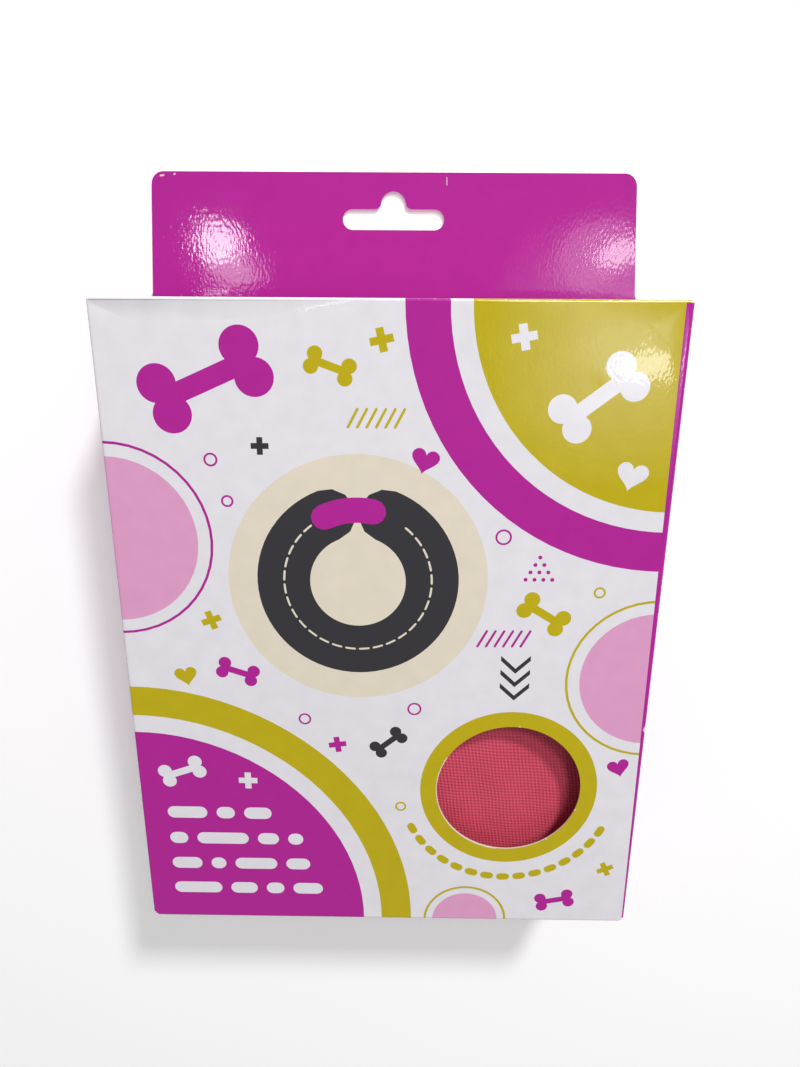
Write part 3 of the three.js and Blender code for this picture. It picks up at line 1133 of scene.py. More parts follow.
    def fold(self, across: float, up: float) -> Folded:
        """Folds a point of the blank.

        Args:
            across: Its distance over the board from the middle of the front.
            up: Its level along the carton.

        Returns:
            Where it lies on the folded carton.
        """
        x, z, out_x, out_z, wear = self.around(across)
        outward = Vector((out_x, 0, out_z))
        on_front = abs(across) <= self.tab_half + 0.001
        top = self.front_top if on_front else self.side_top
        low = self.front_low if on_front else self.side_low
        if abs(across) >= self.side_end or low <= up <= top:
            foot = min(1, max(0, 1 - (up - self.low) / 2)) if abs(across) < self.back_start else 0
            place = Vector((x, up, z)) + outward * self.swell(across, up)
            return Folded(place, max(wear, foot * self.foot_wear))
        level, way = (top, 1) if up > top else (low, -1)
        on, inward, rub = bend(abs(up - level), self.flap_turns(level))
        return Folded(Vector((x, level + way * on, z)) - outward * inward, max(wear, rub))

    def dust_flap(self, side: int, way: int) -> Outline:
        """Draws a dust flap, from its edge at the front to its edge at the back.

        Args:
            side: 1 on the right and -1 on the left.
            way: 1 at the lid and -1 at the bottom.

        Returns:
            The outline.
        """
        near, far, taper = self.flap_near, self.flap_far, self.dust_flap_taper
        root = self.side_top if way > 0 else self.side_low
        reach = self.dust_flap_length - self.crease + self.flap_crease * math.pi / 2
        front = [(near, 0), (near, reach - taper), (near + taper, reach)]
        back = [(far - taper, reach), (far, reach - taper), (far, 0)]
        return [(side * across, root + way * up) for across, up in front + back]

    def header_outline(self) -> Outline:
        """Draws the header from its left root over its round corners to its right root.

        Returns:
            The outline, in carton X and Y.
        """
        root = self.width / 2 - self.header_inset
        tip = root - self.header_taper
        radius = self.header_corner
        right = [(root, self.lid_level), *arc((tip - radius, self.top - radius), radius, 4, 90, 7)]
        return [(-x, y) for x, y in right] + right[::-1]

    def slot_outline(self) -> Outline:
        """Draws the hanging slot: round-ended arms, and a hump that flares into them.

        Returns:
            The outline, in carton X and Y.
        """
        arm, reach = self.slot_arm_radius, self.slot_arm_reach
        hump, hump_y, flare = self.slot_hump, self.slot_hump_level, self.slot_flare
        flare_y = 2 * arm + flare
        flare_x = math.sqrt((hump + flare) ** 2 - (flare_y - hump_y) ** 2)
        tangent = math.degrees(math.atan2(flare_y - hump_y, flare_x))
        points = [
            *arc((reach, arm), arm, -90, 90, 10),
            *arc((flare_x, flare_y), flare, -90, tangent - 180, 6),
            *arc((0, hump_y), hump, tangent, 180 - tangent, 12)[1:-1],
            *arc((-flare_x, flare_y), flare, -tangent, -90, 6),
            *arc((-reach, arm), arm, 90, 270, 10),
        ]
        return [(self.slot[0] + x, self.slot[1] + y) for x, y in points]

    def on_back(self, outline: Outline) -> Outline:
        """Moves an outline in carton X and Y to its place on the blank's back panel."""
        return [(self.back_start + self.flat_half - x, y) for x, y in outline]

    def bottom_flap(self) -> Outline:
        """Draws the bottom panel with its tuck, from the front's lower left corner to its lower right.

        Returns:
            The outline.
        """
        half = self.flat_half - self.bottom_gap
        panel = self.depth - self.lid_back - 2 * self.flap_crease + self.flap_crease * math.pi / 2
        steps = ((half, 0), (half, panel), (half - self.tuck_taper, panel + self.tuck_length))
        right = [(across, self.front_low - drop) for across, drop in steps]
        return [*[(-x, y) for x, y in right], *right[::-1]]

    def outline(self) -> Outline:
        """Draws the die-cut edge of the whole blank, anticlockwise from the left end's foot.

        Returns:
            The outline.
        """
        header_root = self.lid_level - 1.5
        return [
            (-self.back_start, self.side_low),
            *self.dust_flap(-1, -1)[::-1],
            (-self.flat_half, self.side_low),
            (-self.flat_half, self.front_low),
            *self.bottom_flap(),
            (self.flat_half, self.front_low),
            (self.flat_half, self.side_low),
            *self.dust_flap(1, -1),
            (self.back_start, self.side_low),
            (self.back_start, self.low),
            (self.back_end, self.low),
            (self.back_end, header_root),
            *self.on_back(self.header_outline()),
            (self.back_start, header_root),
            (self.back_start, self.side_top),
            *self.dust_flap(1, 1)[::-1],
            (self.tab_half, self.side_top),
            (self.tab_half, self.front_top),
            (-self.tab_half, self.front_top),
            (-self.tab_half, self.side_top),
            *self.dust_flap(-1, 1),
            (-self.back_start, self.side_top),
        ]

    def crease_lines(self, length: float) -> list[float]:
        """Where lines run along a crease, with one beyond each side that keeps the panels' shading flat."""
        return [-self.crease_margin, *spread(0, length, length / self.arc_steps), length + self.crease_margin]

    def crease_guides(self) -> list[Outline]:
        """Draws lines along the creases, close enough to round them.

        Returns:
            The lines.
        """
        guides = []
        heights = spread(self.side_low, self.side_top, self.crease_pitch)
        for side in (-1, 1):
            for start in (self.flat_half, self.side_end):
                for along in self.crease_lines(self.crease_length):
                    guides.append([(side * (start + along), up) for up in heights])
        reach = spread(self.flap_near, self.flap_far, self.crease_pitch)
        for side in (-1, 1):
            for level, way in ((self.side_top, 1), (self.side_low, -1)):
                for along in self.crease_lines(self.flap_crease * math.pi / 2):
                    guides.append([(side * across, level + way * along) for across in reach])
        half = self.flat_half - self.bottom_gap
        for turn in self.flap_turns(self.front_low):
            for along in self.crease_lines(turn.length):
                up = self.front_low - turn.start - along
                guides.append([(across, up) for across in spread(-half, half, self.flap_pitch)])
        return guides

    def grid(self) -> list[Flat]:
        """Scatters points over the walls, so that they can swell.

        Returns:
            The points.
        """
        heights = spread(self.front_low, self.front_top, self.wall_pitch)[1:-1]
        dots = [(x, up) for x in spread(-self.flat_half, self.flat_half, self.wall_pitch)[1:-1] for up in heights]
        heights = spread(self.side_low, self.side_top, self.side_pitch)[1:-1]
        for side in (-1, 1):
            for across in spread(self.side_start, self.side_end, self.side_pitch)[1:-1]:
                dots += [(side * across, up) for up in heights]
        return dots

    def print_patches(self) -> list[Patch]:
        """Lays out the front's design, the plain sides, flaps and bottom, and the colours on the back.

        Returns:
            The patches, from the ground up.
        """
        foot, head = self.low - 2 * self.depth, self.top + self.bleed
        side_head = self.side_top + self.print_turn_in
        flap_head = self.side_top + self.dust_flap_length + self.bleed
        corner = (self.back_start, self.low)
        # The right side's colour shows as a strip on the front, wider towards the lid
        strip = [
            (self.width / 2 - self.strip_low, self.front_low),
            (self.back_start, self.front_low),
            (self.back_start, self.lid_level),
            (self.width / 2 - self.strip_high, self.lid_level),
        ]
        regions = [
            (Ink.OLIVE, sector(corner, 52, 60, 0, 90)),
            (Ink.PINK, sector(corner, 0, 46, 0, 90)),
            (Ink.MAGENTA, block((-self.back_start, foot), (-self.flat_half - 0.45 * self.crease_length, side_head))),
            (Ink.MAGENTA, block((self.side_start, foot), (self.back_start, side_head))),
            (Ink.MAGENTA, strip),
            (Ink.MAGENTA, block((-self.flat_half, foot), (self.flat_half, self.front_low - 0.5))),
            (Ink.MAGENTA, block((self.back_start, self.lid_level - 12), (self.back_end, head))),
            (Ink.WHITE, block((-self.back_start, side_head), (-self.flat_half, flap_head))),
            (Ink.WHITE, block((self.flat_half, side_head), (self.back_start, flap_head))),
            (Ink.CREAM, [(79.3, -45), (79.8, -43.6), (80.6, -44.4), (80.2, -46.4)]),
            (Ink.CREAM, [(-79.9, -118.4), (-78.6, -118.9), (-78.9, -119.6), (-80.1, -119.5)]),
        ]
        return [*self.art, *[Patch(ink, outline) for ink, outline in regions]]

    def build_shell(self) -> bpy.types.Object:
        """Folds the carton's blank.

        Returns:
            The piece.
        """
        blank = Blank(
            "carton_blank",
            self.outline(),
            self.fold,
            patches=self.print_patches(),
            holes=[disc(self.window, self.window_radius, 96), self.on_back(self.slot_outline())],
            guides=self.crease_guides(),
            dots=self.grid(),
            board=self.board,
        )
        return blank.build(self.inks, self.bare)

    def build_glued_panel(self) -> bpy.types.Object:
        """Makes the panel that doubles the back and gives the header its printed front.

        Returns:
            The piece.
        """
        half = self.width / 2 - self.board - self.panel_gap
        low, root = self.low + self.panel_low, self.lid_level - 4
        outline = [(-half, low), (half, low), (half, root), *self.header_outline()[::-1], (-half, root)]
        level = 2 * self.board + 0.1
        shade = block((-self.width, self.lid_level - 6), (self.width, self.top + self.bleed))
        rubs = [
            turned(pill(1.5, 0.5), (-72.2, 118.5), 8),
            turned(pill(0.9, 0.4), (-68.3, 118.9), 20),
            turned(pill(2.4, 0.22), (16.6, 117.2), 92),
        ]

        def lay(across: float, up: float) -> Folded:
            """The panel lies flat on the back."""
            return Folded(Vector((across, up, level)), 0.0)

        patches = [Patch(Ink.MAGENTA, shade), *[Patch(Ink.CREAM, rub) for rub in rubs]]
        panel = Blank("glued_panel", outline, lay, patches=patches, holes=[self.slot_outline()], board=self.board)
        return panel.build(self.inks, self.bare)

    def build_lid(self) -> bpy.types.Object:
        """Folds the lid with its crease at the front and its tuck flap.

        Returns:
            The piece.
        """
        start = self.front_top
        turns = self.flap_turns(start)
        crease, fall = start + turns[0].length, start + turns[1].start
        tuck = fall + turns[1].length
        tip = tuck + self.tuck_length - self.flap_crease
        half = self.width / 2 - self.lid_side_gap
        tuck_half = half - self.tuck_inset
        radius = self.tuck_corner
        right = [
            (self.flat_half, start),
            (self.flat_half, crease),
            (half, crease),
            (half, fall),
            (tuck_half, fall + 0.3),
            (tuck_half, tuck + 0.6),
            *arc((tuck_half - self.tuck_taper - radius, tip - radius), radius, 0, 90, 8),
        ]
        guides = []
        for turn, reach in zip(turns, (self.flat_half, tuck_half)):
            for along in self.crease_lines(turn.length):
                up = start + max(0, turn.start + along)
                guides.append([(across, up) for across in spread(-reach, reach, self.flap_pitch)])
        print_end = tuck + self.print_turn_in
        colour = block((-self.width, start + 1.3), (self.width, print_end))
        bare_tuck = block((-self.width, print_end), (self.width, tip + self.bleed))
        patches = [*self.art, Patch(Ink.MAGENTA, colour), Patch(Ink.WHITE, bare_tuck)]

        def fold(across: float, up: float) -> Folded:
            """The lid turns in over the front's upper edge."""
            on, inward, rub = bend(up - start, turns)
            return Folded(Vector((across, start + on, self.depth - inward)), rub)

        outline = [*right, *mirrored(right)]
        lid = Blank("lid_board", outline, fold, patches=patches, guides=guides, board=self.board)
        return lid.build(self.inks, self.bare)

    def build(self) -> None:
        """Builds the carton's pieces and says what the shell and the glued panel ride on."""
        shell = self.build_shell()
        panel = self.build_glued_panel()
        for piece in (shell, panel):
            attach(piece, "package")
            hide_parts("carton")
        lid = self.build_lid()
        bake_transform(lid)
        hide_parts("lid")
        for piece in (shell, panel, lid):
            log.info("%s: %d faces", piece.name, len(piece.data.polygons))


@dataclass(frozen=True)
class Station:
    """One section of the folded tube: where it is in the carton, and where it was on the flat pattern."""

    origin: Vector
    along: Vector
    normal: Vector
    fullness: float
    flat_origin: Vector
    flat_along: Vector

    def place(self, reach: float, lift: float) -> Vector:
        """A point of the section, from its reach off the middle of the C and its lift off the middle line."""
        return self.origin + self.along * reach + self.normal * lift

    def pattern(self, reach: float) -> Vector:
        """The same place on the flat pattern."""
        return self.flat_origin + self.flat_along * reach


@dataclass(frozen=True)
class FoldedCourse:
    """How the flat tube of the collar, a C when it is open, lies folded in layers. Millimetres and degrees."""

    centre: Flat
    middle_height: float
    neck_radius: float = 45.0
    tube_width: float = 96.0
    thickness: float = 14.9
    sweep: float = 107.0
    pitch: float = 15.4
    fold_fullness: float = 0.58
    end_fullness: float = 0.2
    fade: float = 26.0
    layers: int = 3

    @property
    def tube_middle(self) -> float:
        """From the middle of the C to the middle of the tube."""
        return self.neck_radius + self.tube_width / 2

    @property
    def fold_radius(self) -> float:
        """Radius of the tube's middle line round a fold."""
        return self.pitch / 2

    @property
    def front_layer(self) -> int:
        """The layer that lies under the carton's front."""
        return self.layers - 1

    def layer_height(self, layer: int) -> float:
        """Height of a layer's middle line."""
        return self.middle_height + (layer - 1) * self.pitch

    def fullness(self, layer: int, angle: float) -> float:
        """How full the tube is, as it thins towards its folds and its sewn ends.

        Args:
            layer: The layer.
            angle: The angle in that layer.

        Returns:
            The share of its full thickness.
        """

        def ease(share: float) -> float:
            """From 0 to 1, with a level start and end."""
            held = min(1.0, max(0.0, share))
            return held * held * (3 - 2 * held)

        low_end = self.end_fullness if layer == 0 else self.fold_fullness
        high_end = self.end_fullness if layer == self.front_layer else self.fold_fullness
        low = low_end + (1 - low_end) * ease(angle / self.fade)
        high = high_end + (1 - high_end) * ease((self.sweep - angle) / self.fade)
        return min(low, high)

    def flat_pair(self, origin: Vector, angle: float) -> tuple[Vector, Vector]:
        """A middle of the C on the flat pattern, and the direction from it at an angle."""
        turn = math.radians(angle)
        return origin, Vector((-math.sin(turn), -math.cos(turn)))

    def flat_frame(self, layer: int, angle: float, bent: float) -> tuple[Vector, Vector]:
        """Unfolds a section on to the flat pattern, with the front layer left where it lies.

        Args:
            layer: The layer, or the one below the fold.
            angle: The section's angle in its layer.
            bent: How far round the fold above that layer the section is, from 0 to 1.

        Returns:
            The middle of the C, and the direction from there to the outer seam.
        """
        fold_length = math.pi * self.fold_radius
        origin = Vector(self.centre)
        if layer == self.front_layer:
            return self.flat_pair(origin, angle)
        if layer == 1:
            return self.flat_pair(origin + Vector((fold_length * (1 - bent), 0)), -angle)
        turn = math.radians(-self.sweep)
        back = Vector((math.cos(turn), -math.sin(turn)))
        origin = origin + Vector((fold_length, 0)) + back * fold_length * (1 - bent)
        return self.flat_pair(origin, angle - 2 * self.sweep)

    def station(self, layer: int, angle: float, bent: float = 0.0) -> Station:
        """Finds a section of the tube.

        Args:
            layer: The layer, or the one below the fold.
            angle: The section's angle in its layer.
            bent: How far round the fold above that layer the section is, from 0 to 1.

        Returns:
            The section.
        """
        turn = math.pi * (layer + bent)
        radians = math.radians(angle)
        along = Vector((-math.sin(radians), -math.cos(radians), 0))
        across = Vector((-math.cos(radians), math.sin(radians), 0))
        shift = (-1) ** layer * self.fold_radius * math.sin(math.pi * bent)
        height = self.layer_height(layer) + self.fold_radius * (1 - math.cos(math.pi * bent))
        origin = Vector((*self.centre, height)) + across * shift
        normal = Vector((0, 0, math.cos(turn))) - across * abs(math.sin(turn))
        fullness = self.fold_fullness if bent else self.fullness(layer, angle)
        return Station(origin, along, normal, fullness, *self.flat_frame(layer, angle, bent))

    def stations(self, layer_steps: int, fold_steps: int, end_turn: float = 0.0) -> list[Station]:
        """Lists sections from the sewn end on the back layer, through the folds, to the end on the front layer.

        Args:
            layer_steps: Steps along a layer.
            fold_steps: Steps round a fold.
            end_turn: How far the two ends are drawn back, in degrees.

        Returns:
            The sections in order.
        """
        found = []
        for layer in range(self.layers):
            low = end_turn if layer == 0 else 0.0
            high = self.sweep - (end_turn if layer == self.front_layer else 0.0)
            forward = layer % 2 == 0
            for step in range(layer_steps + 1):
                share = step / layer_steps if forward else 1 - step / layer_steps
                found.append(self.station(layer, low + (high - low) * share))
            if layer < self.front_layer:
                angle = self.sweep if forward else 0.0
                found += [self.station(layer, angle, step / fold_steps) for step in range(1, fold_steps)]
        return found


@dataclass
class SoftTube:
    """A closed skin along the folded course: the cloth cover, or the film bladder in it. Millimetres."""

    name: str
    course: FoldedCourse
    edge_inset: float = 0.0
    wall_inset: float = 0.0
    seam_width: float = 4.0
    seam_half: float = 0.7
    end_turn: float = 0.0
    layer_steps: int = 56
    fold_steps: int = 14
    ring_steps: int = 26
    roundness: float = 0.55

    @property
    def half_span(self) -> float:
        """Half of the flat width."""
        return self.course.tube_width / 2 - self.edge_inset

    @property
    def crown_share(self) -> float:
        """The part of the half width that is not flat seam."""
        return 1 - self.seam_width / self.half_span

    def shares(self) -> list[float]:
        """Spaces the points across the tube, close together at the seams.

        Returns:
            Their places, from -1 at the inner seam to 1 at the outer one.
        """
        edge = self.crown_share
        inside = [-edge * math.cos(math.pi * step / self.ring_steps) for step in range(self.ring_steps + 1)]
        return [-1.0, -(1 + edge) / 2, *inside, (1 + edge) / 2, 1.0]

    def half_thickness(self, fullness: float, share: float) -> float:
        """Shapes the tube's section, a flat seam at each edge with a crown between them.

        Args:
            fullness: The section's share of the tube's full thickness.
            share: The place across the tube.

        Returns:
            Half of the thickness there.
        """
        middle = max(self.course.thickness / 2 * fullness - self.wall_inset, self.seam_half)
        inner = share / self.crown_share
        return self.seam_half + (middle - self.seam_half) * max(0.0, 1 - inner * inner) ** self.roundness

    def on_face(self, station: Station, share: float, side: int, lift: float = 0.0) -> Vector:
        """A point on one of the two faces of the tube, or over it."""
        reach = self.course.tube_middle + share * self.half_span
        return station.place(reach, side * (self.half_thickness(station.fullness, share) + lift))

    def build(self) -> tuple[bpy.types.Object, list[bool]]:
        """Makes the skin.

        Returns:
            The piece, and for each of its points whether it is sewn down.
        """
        shares = self.shares()
        stations = self.course.stations(self.layer_steps, self.fold_steps, self.end_turn)
        count = 2 * len(shares)
        points, flats, sewn = [], [], []
        for number, station in enumerate(stations):
            at_end = number < 2 or number > len(stations) - 3
            for side, row in ((1, shares), (-1, shares[::-1])):
                for share in row:
                    points.append(self.on_face(station, share, side) * MM)
                    flats.append(station.pattern(self.course.tube_middle + share * self.half_span) * MM)
                    sewn.append(at_end or abs(share) > self.crown_share - 0.01)
        faces = []
        for here in range(0, (len(stations) - 1) * count, count):
            for point in range(count):
                following, there = (point + 1) % count, here + count
                faces.append((here + point, there + point, there + following, here + following))
        last = (len(stations) - 1) * count
        for point in range(len(shares) - 1):
            mirror = count - 1 - point
            faces.append((mirror, point, point + 1, mirror - 1))
            faces.append((last + point, last + mirror, last + mirror - 1, last + point + 1))
        mesh = bpy.data.meshes.new(self.name)
        mesh.from_pydata(points, [], faces)
        weave = mesh.uv_layers.new(name="weave")
        for loop in mesh.loops:
            weave.data[loop.index].uv = flats[loop.vertex_index]
        shell = bmesh.new()
        shell.from_mesh(mesh)
        bmesh.ops.recalc_face_normals(shell, faces=shell.faces)
        if shell.calc_volume(signed=True) < 0:
            bmesh.ops.reverse_faces(shell, faces=shell.faces)
        shell.to_mesh(mesh)
        shell.free()
        return add_piece(self.name, mesh), sewn


@dataclass
class ClothRest:
    """Lets sewn cloth settle over a little air, in a short simulation on an enlarged copy."""

    enlarge: float = 10.0
    pressure: float = 2.2
    spare_cloth: float = 0.07
    stretch_stiffness: float = 18.0
    shear_stiffness: float = 6.0
    bending_stiffness: float = 0.6
    mass: float = 0.25
    quality: int = 6
    frames: int = 20
    outward_mm: float = 0.55
    inward_mm: float = 1.1
    sideways_mm: float = 0.7

    def hang(self, trial: bpy.types.Object, sewn: list[bool]) -> None:
        """Gives the enlarged copy its cloth.

        Args:
            trial: The copy.
            sewn: For each point whether the seams hold it.
        """
        held = trial.vertex_groups.new(name="held")
        held.add([number for number, is_sewn in enumerate(sewn) if is_sewn], 1.0, "REPLACE")
        cloth = trial.modifiers.new("cloth", "CLOTH")
        settings = cloth.settings
        settings.quality = self.quality
        settings.mass = self.mass
        settings.tension_stiffness = settings.compression_stiffness = self.stretch_stiffness
        settings.shear_stiffness = self.shear_stiffness
        settings.bending_stiffness = self.bending_stiffness
        settings.use_pressure = True
        settings.uniform_pressure_force = self.pressure
        settings.shrink_min = settings.shrink_max = -self.spare_cloth
        settings.vertex_group_mass = held.name
        settings.pin_stiffness = 1.0
        settings.effector_weights.gravity = 0
        cloth.collision_settings.use_collision = False
        cloth.point_cache.frame_start = 1
        cloth.point_cache.frame_end = self.frames

    def settle(self, piece: bpy.types.Object, sewn: list[bool]) -> None:
        """Moves the points of a piece to where the cloth comes to rest.

        Args:
            piece: The soft piece.
            sewn: For each point whether the seams hold it.
        """
        trial = piece.copy()
        trial.data = piece.data.copy()
        bpy.context.collection.objects.link(trial)
        for vertex in trial.data.vertices:
            vertex.co *= self.enlarge
        self.hang(trial, sewn)
        scene = bpy.context.scene
        for number in range(1, self.frames + 1):
            scene.frame_set(number)
        settled = trial.evaluated_get(bpy.context.evaluated_depsgraph_get())
        mapped = [vertex.co / self.enlarge for vertex in settled.to_mesh().vertices]
        settled.to_mesh_clear()
        furthest = 0.0
        normals = [vertex.normal.copy() for vertex in piece.data.vertices]
        for vertex, rest, normal in zip(piece.data.vertices, mapped, normals):
            move = (rest - vertex.co) / MM
            outward = move.dot(normal)
            sideways = move - normal * outward
            furthest = max(furthest, move.length)
            held_out = self.soft_limit(outward, self.outward_mm if outward > 0 else self.inward_mm)
            if sideways.length > 0:
                sideways *= self.soft_limit(sideways.length, self.sideways_mm) / sideways.length
            vertex.co += (normal * held_out + sideways) * MM
        bpy.data.objects.remove(trial)
        scene.frame_set(1)
        log.info("%s: cloth settled, furthest %.2f mm before the limit", piece.name, furthest)

    def soft_limit(self, value: float, limit: float) -> float:
        """Holds a value under a limit without a hard stop."""
        return limit * math.tanh(value / limit)


class Stitch(NamedTuple):
    """One stitch: its middle in millimetres, the way its thread runs, and the way off the cloth."""

    middle: Vector
    ahead: Vector
    outward: Vector


@dataclass
class StitchRows:
    """Rows of lockstitches, each a short thread that dips into the cloth at both ends. Millimetres."""

    length: float = 2.4
    width: float = 0.55

    def build(self, name: str, stitches: Sequence[Stitch], material: bpy.types.Material) -> bpy.types.Object:
        """Sews the stitches.

        Args:
            name: The piece's name.
            stitches: Where they lie.
            material: The thread.

        Returns:
            All stitches as one piece.
        """
        one = add_primitive(name, bpy.ops.mesh.primitive_uv_sphere_add, segments=6, ring_count=6, radius=1)
        half_width, half_length = self.width / 2 * MM, self.length / 2 * MM
        edit_all(bpy.ops.transform.resize, value=(half_width, half_width, half_length))
        rows = bmesh.new()
        for stitch in stitches:
            before = len(rows.verts)
            rows.from_mesh(one.data)
            rows.verts.ensure_lookup_table()
            side = stitch.outward.cross(stitch.ahead).normalized()
            up = stitch.ahead.cross(side).normalized()
            ahead = stitch.ahead.normalized()
            for vertex in rows.verts[before:]:
                x, y, z = vertex.co
                vertex.co = stitch.middle * MM + side * x + up * y + ahead * z
        rows.to_mesh(one.data)
        rows.free()
        one.data.materials.append(material)
        bpy.ops.object.shade_smooth()
        return one


@dataclass
class Collar:
    """The recovery collar: cloth cover, air bladder, valve with its port, and closure strap. Millimetres."""

    course: FoldedCourse
    cloth_wall: float = 0.6
    stitch_pitch: float = 3.4
    stitch_lift: float = 0.02
    end_row_angle: float = 1.5
    end_row_reach: float = 0.88
    end_row_count: int = 26
    valve_angle: float = 48.0
    valve_radius: float = 5.0
    valve_foot: float = 46.35
    valve_top: float = 51.6
    valve_rim: float = 2.0
    tether_half: float = 1.2
    tether_thickness: float = 0.6
    port_radius: float = 7.1
    port_roll: float = 1.25
    port_flatness: float = 0.62
    port_stitch_lift: float = 0.72
    port_stitch_count: int = 30
    strap_sweep: float = 40.0
    strap_root: float = 30.0
    strap_tip: float = 40.0
    strap_corner: float = 6.0
    strap_thickness: float = 1.3
    strap_lift: float = 0.75
    strap_stitch_lift: float = 2.0
    strap_row_reach: Flat = (0.88, 0.82)
    strap_row_counts: tuple[int, int] = (20, 8)
    rumpled_place: Flat = (38.5, -67.2)
    rumple_reach: float = 38.0
    rumple_depth: float = 0.75
    wrinkle_pitch: float = 8.0
    wrinkle_length: float = 26.0
    wrinkle_slant: float = 60.0
    film_wrinkle_pitch: float = 9.0
    film_wrinkle_depth: float = 0.5
    # The cloth's lighter tone is painted light on the yarns' tops, and its darker tone painted shade between them.
    cloth: WovenCloth = WovenCloth("woven_polyester", "#E4566F", "#B52D4C")

    def __post_init__(self) -> None:
        """Sets out the cover's skin, which the other pieces follow."""
        self.skin = SoftTube("cloth_cover", self.course, wall_inset=0.5)
        self.valve_station = self.course.station(self.course.front_layer, self.valve_angle)
        self.valve_place = self.valve_station.place(self.course.tube_middle, 0)
        self.woven = self.cloth.build()
        self.thread = self.spool("polyester_thread", "#A93550")

    def spool(self, name: str, tone: str) -> bpy.types.Material:
        """Sewing thread of a tone, with a painted shade darker and a painted shine lighter than it."""
        return SewingThread(name, shaded(tone, 0.8), shaded(tone, 1.1)).build()

    def rumple(self, cover: bpy.types.Object, sewn: list[bool]) -> None:
        """Presses shallow wrinkles into the front layer about the carton's window.

        Args:
            cover: The cloth cover.
            sewn: For each point whether the seams hold it.
        """
        front_layer = self.course.layer_height(self.course.front_layer)
        for vertex, is_sewn in zip(cover.data.vertices, sewn):
            x, y, z = vertex.co / MM
            if is_sewn or z < front_layer:
                continue
            away = math.hypot(x - self.rumpled_place[0], y - self.rumpled_place[1])
            depth = self.rumple_depth * math.exp(-((away / self.rumple_reach) ** 2))
            wrinkle = Vector((x / self.wrinkle_pitch + y / self.wrinkle_slant, y / self.wrinkle_length, 5.1))
            vertex.co += vertex.normal * depth * noise.noise(wrinkle) * MM

    def build_cover(self) -> None:
        """Sews the cloth cover and lets it settle."""
        cover, sewn = self.skin.build()
        ClothRest().settle(cover, sewn)
        self.rumple(cover, sewn)
        cover.data.materials.append(self.woven)
        activate(cover)
        apply_modifier(cover, "SOLIDIFY", thickness=self.cloth_wall * MM, offset=-1)
        apply_modifier(cover, "SUBSURF", levels=1, render_levels=1)
        bpy.ops.object.shade_smooth()
        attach(cover, "package")
        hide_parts("collar_cover")
        log.info("%s: %d faces", cover.name, len(cover.data.polygons))

    def build_stitches(self) -> None:
        """Sews the topstitching along both seams, and the shut ends."""
        course, skin = self.course, self.skin
        stitches = []
        seam = (1 + skin.crown_share) / 2
        for layer in range(course.layers):
            for side in (-1, 1):
                for edge in (-seam, seam):
                    reach = course.tube_middle + edge * skin.half_span
                    count = round(math.radians(course.sweep) * reach / self.stitch_pitch)
                    for angle in middles(0, course.sweep, count):
                        station = course.station(layer, angle)
                        ahead = Vector((-station.along.y, station.along.x, 0))
                        middle = skin.on_face(station, edge, side, self.stitch_lift)
                        stitches.append(Stitch(middle, ahead, station.normal * side))
        for layer, angle in ((0, self.end_row_angle), (course.front_layer, course.sweep - self.end_row_angle)):
            station = course.station(layer, angle)
            for edge in middles(-self.end_row_reach, self.end_row_reach, self.end_row_count):
                for side in (-1, 1):
                    middle = skin.on_face(station, edge, side, self.stitch_lift)
                    stitches.append(Stitch(middle, station.along, station.normal * side))
        rows = StitchRows().build("seam_stitches", stitches, self.thread)
        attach(rows, "package")

    def build_bladder(self) -> None:
        """Welds the let-down bladder, well inside the cover."""
        skin = SoftTube(
            "film_bladder",
            self.course,
            edge_inset=9.0,
            wall_inset=3.0,
            seam_width=5.0,
            seam_half=0.3,
            end_turn=9.0,
            layer_steps=36,
            fold_steps=10,
            ring_steps=16,
        )
        bladder, _ = skin.build()
        for vertex in bladder.data.vertices:
            wrinkle = noise.noise(Vector(vertex.co) / (self.film_wrinkle_pitch * MM)) * self.film_wrinkle_depth
            vertex.co -= vertex.normal * abs(wrinkle) * MM
        bladder.data.materials.append(WeldedFilm().build())
        apply_modifier(bladder, "SUBSURF", levels=1, render_levels=1)
        bpy.ops.object.shade_smooth()
        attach(bladder, "package")
        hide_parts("bladder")

    def build_valve(self) -> None:
        """Models the valve: a stem with a rim, the plug pushed into it, and the plug's tether."""
        x, y = self.valve_place.x * MM, self.valve_place.y * MM
        foot, rim = self.valve_foot * MM, (self.valve_top - self.valve_rim) * MM
        valve = add_primitive(
            "air_valve",
            bpy.ops.mesh.primitive_cylinder_add,
            vertices=48,
            radius=self.valve_radius * MM,
            depth=rim - foot,
            location=(x, y, (rim + foot) / 2),
        )
        bpy.ops.object.mode_set(mode="EDIT")
        bpy.ops.mesh.select_mode(type="FACE")
        bpy.ops.mesh.select_all(action="DESELECT")
        bpy.ops.object.mode_set(mode="OBJECT")
        for face in valve.data.polygons:
            face.select = face.normal.z > 0.9
        bpy.ops.object.mode_set(mode="EDIT")
        # From the rim inwards: the well round the plug, the plug's side, its sloped edge, and a ring on its flat top
        for inset, lift in ((0.9, -0.7), (0.55, 2.1), (0.45, 0.35), (1.2, 0.0)):
            bpy.ops.mesh.inset(thickness=inset * MM)
            if lift:
                bpy.ops.mesh.extrude_region_move(TRANSFORM_OT_translate={"value": (0, 0, lift * MM)})
        bpy.ops.object.mode_set(mode="OBJECT")
        round_edges(valve, width_mm=0.22, segments=3, over_degrees=40)
        bpy.ops.object.shade_smooth_by_angle(angle=math.radians(35))
        vinyl = MouldedVinyl().build()
        valve.data.materials.append(vinyl)
        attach(valve, "package")
        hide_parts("valve")
        self.build_tether(vinyl)
        self.build_port()

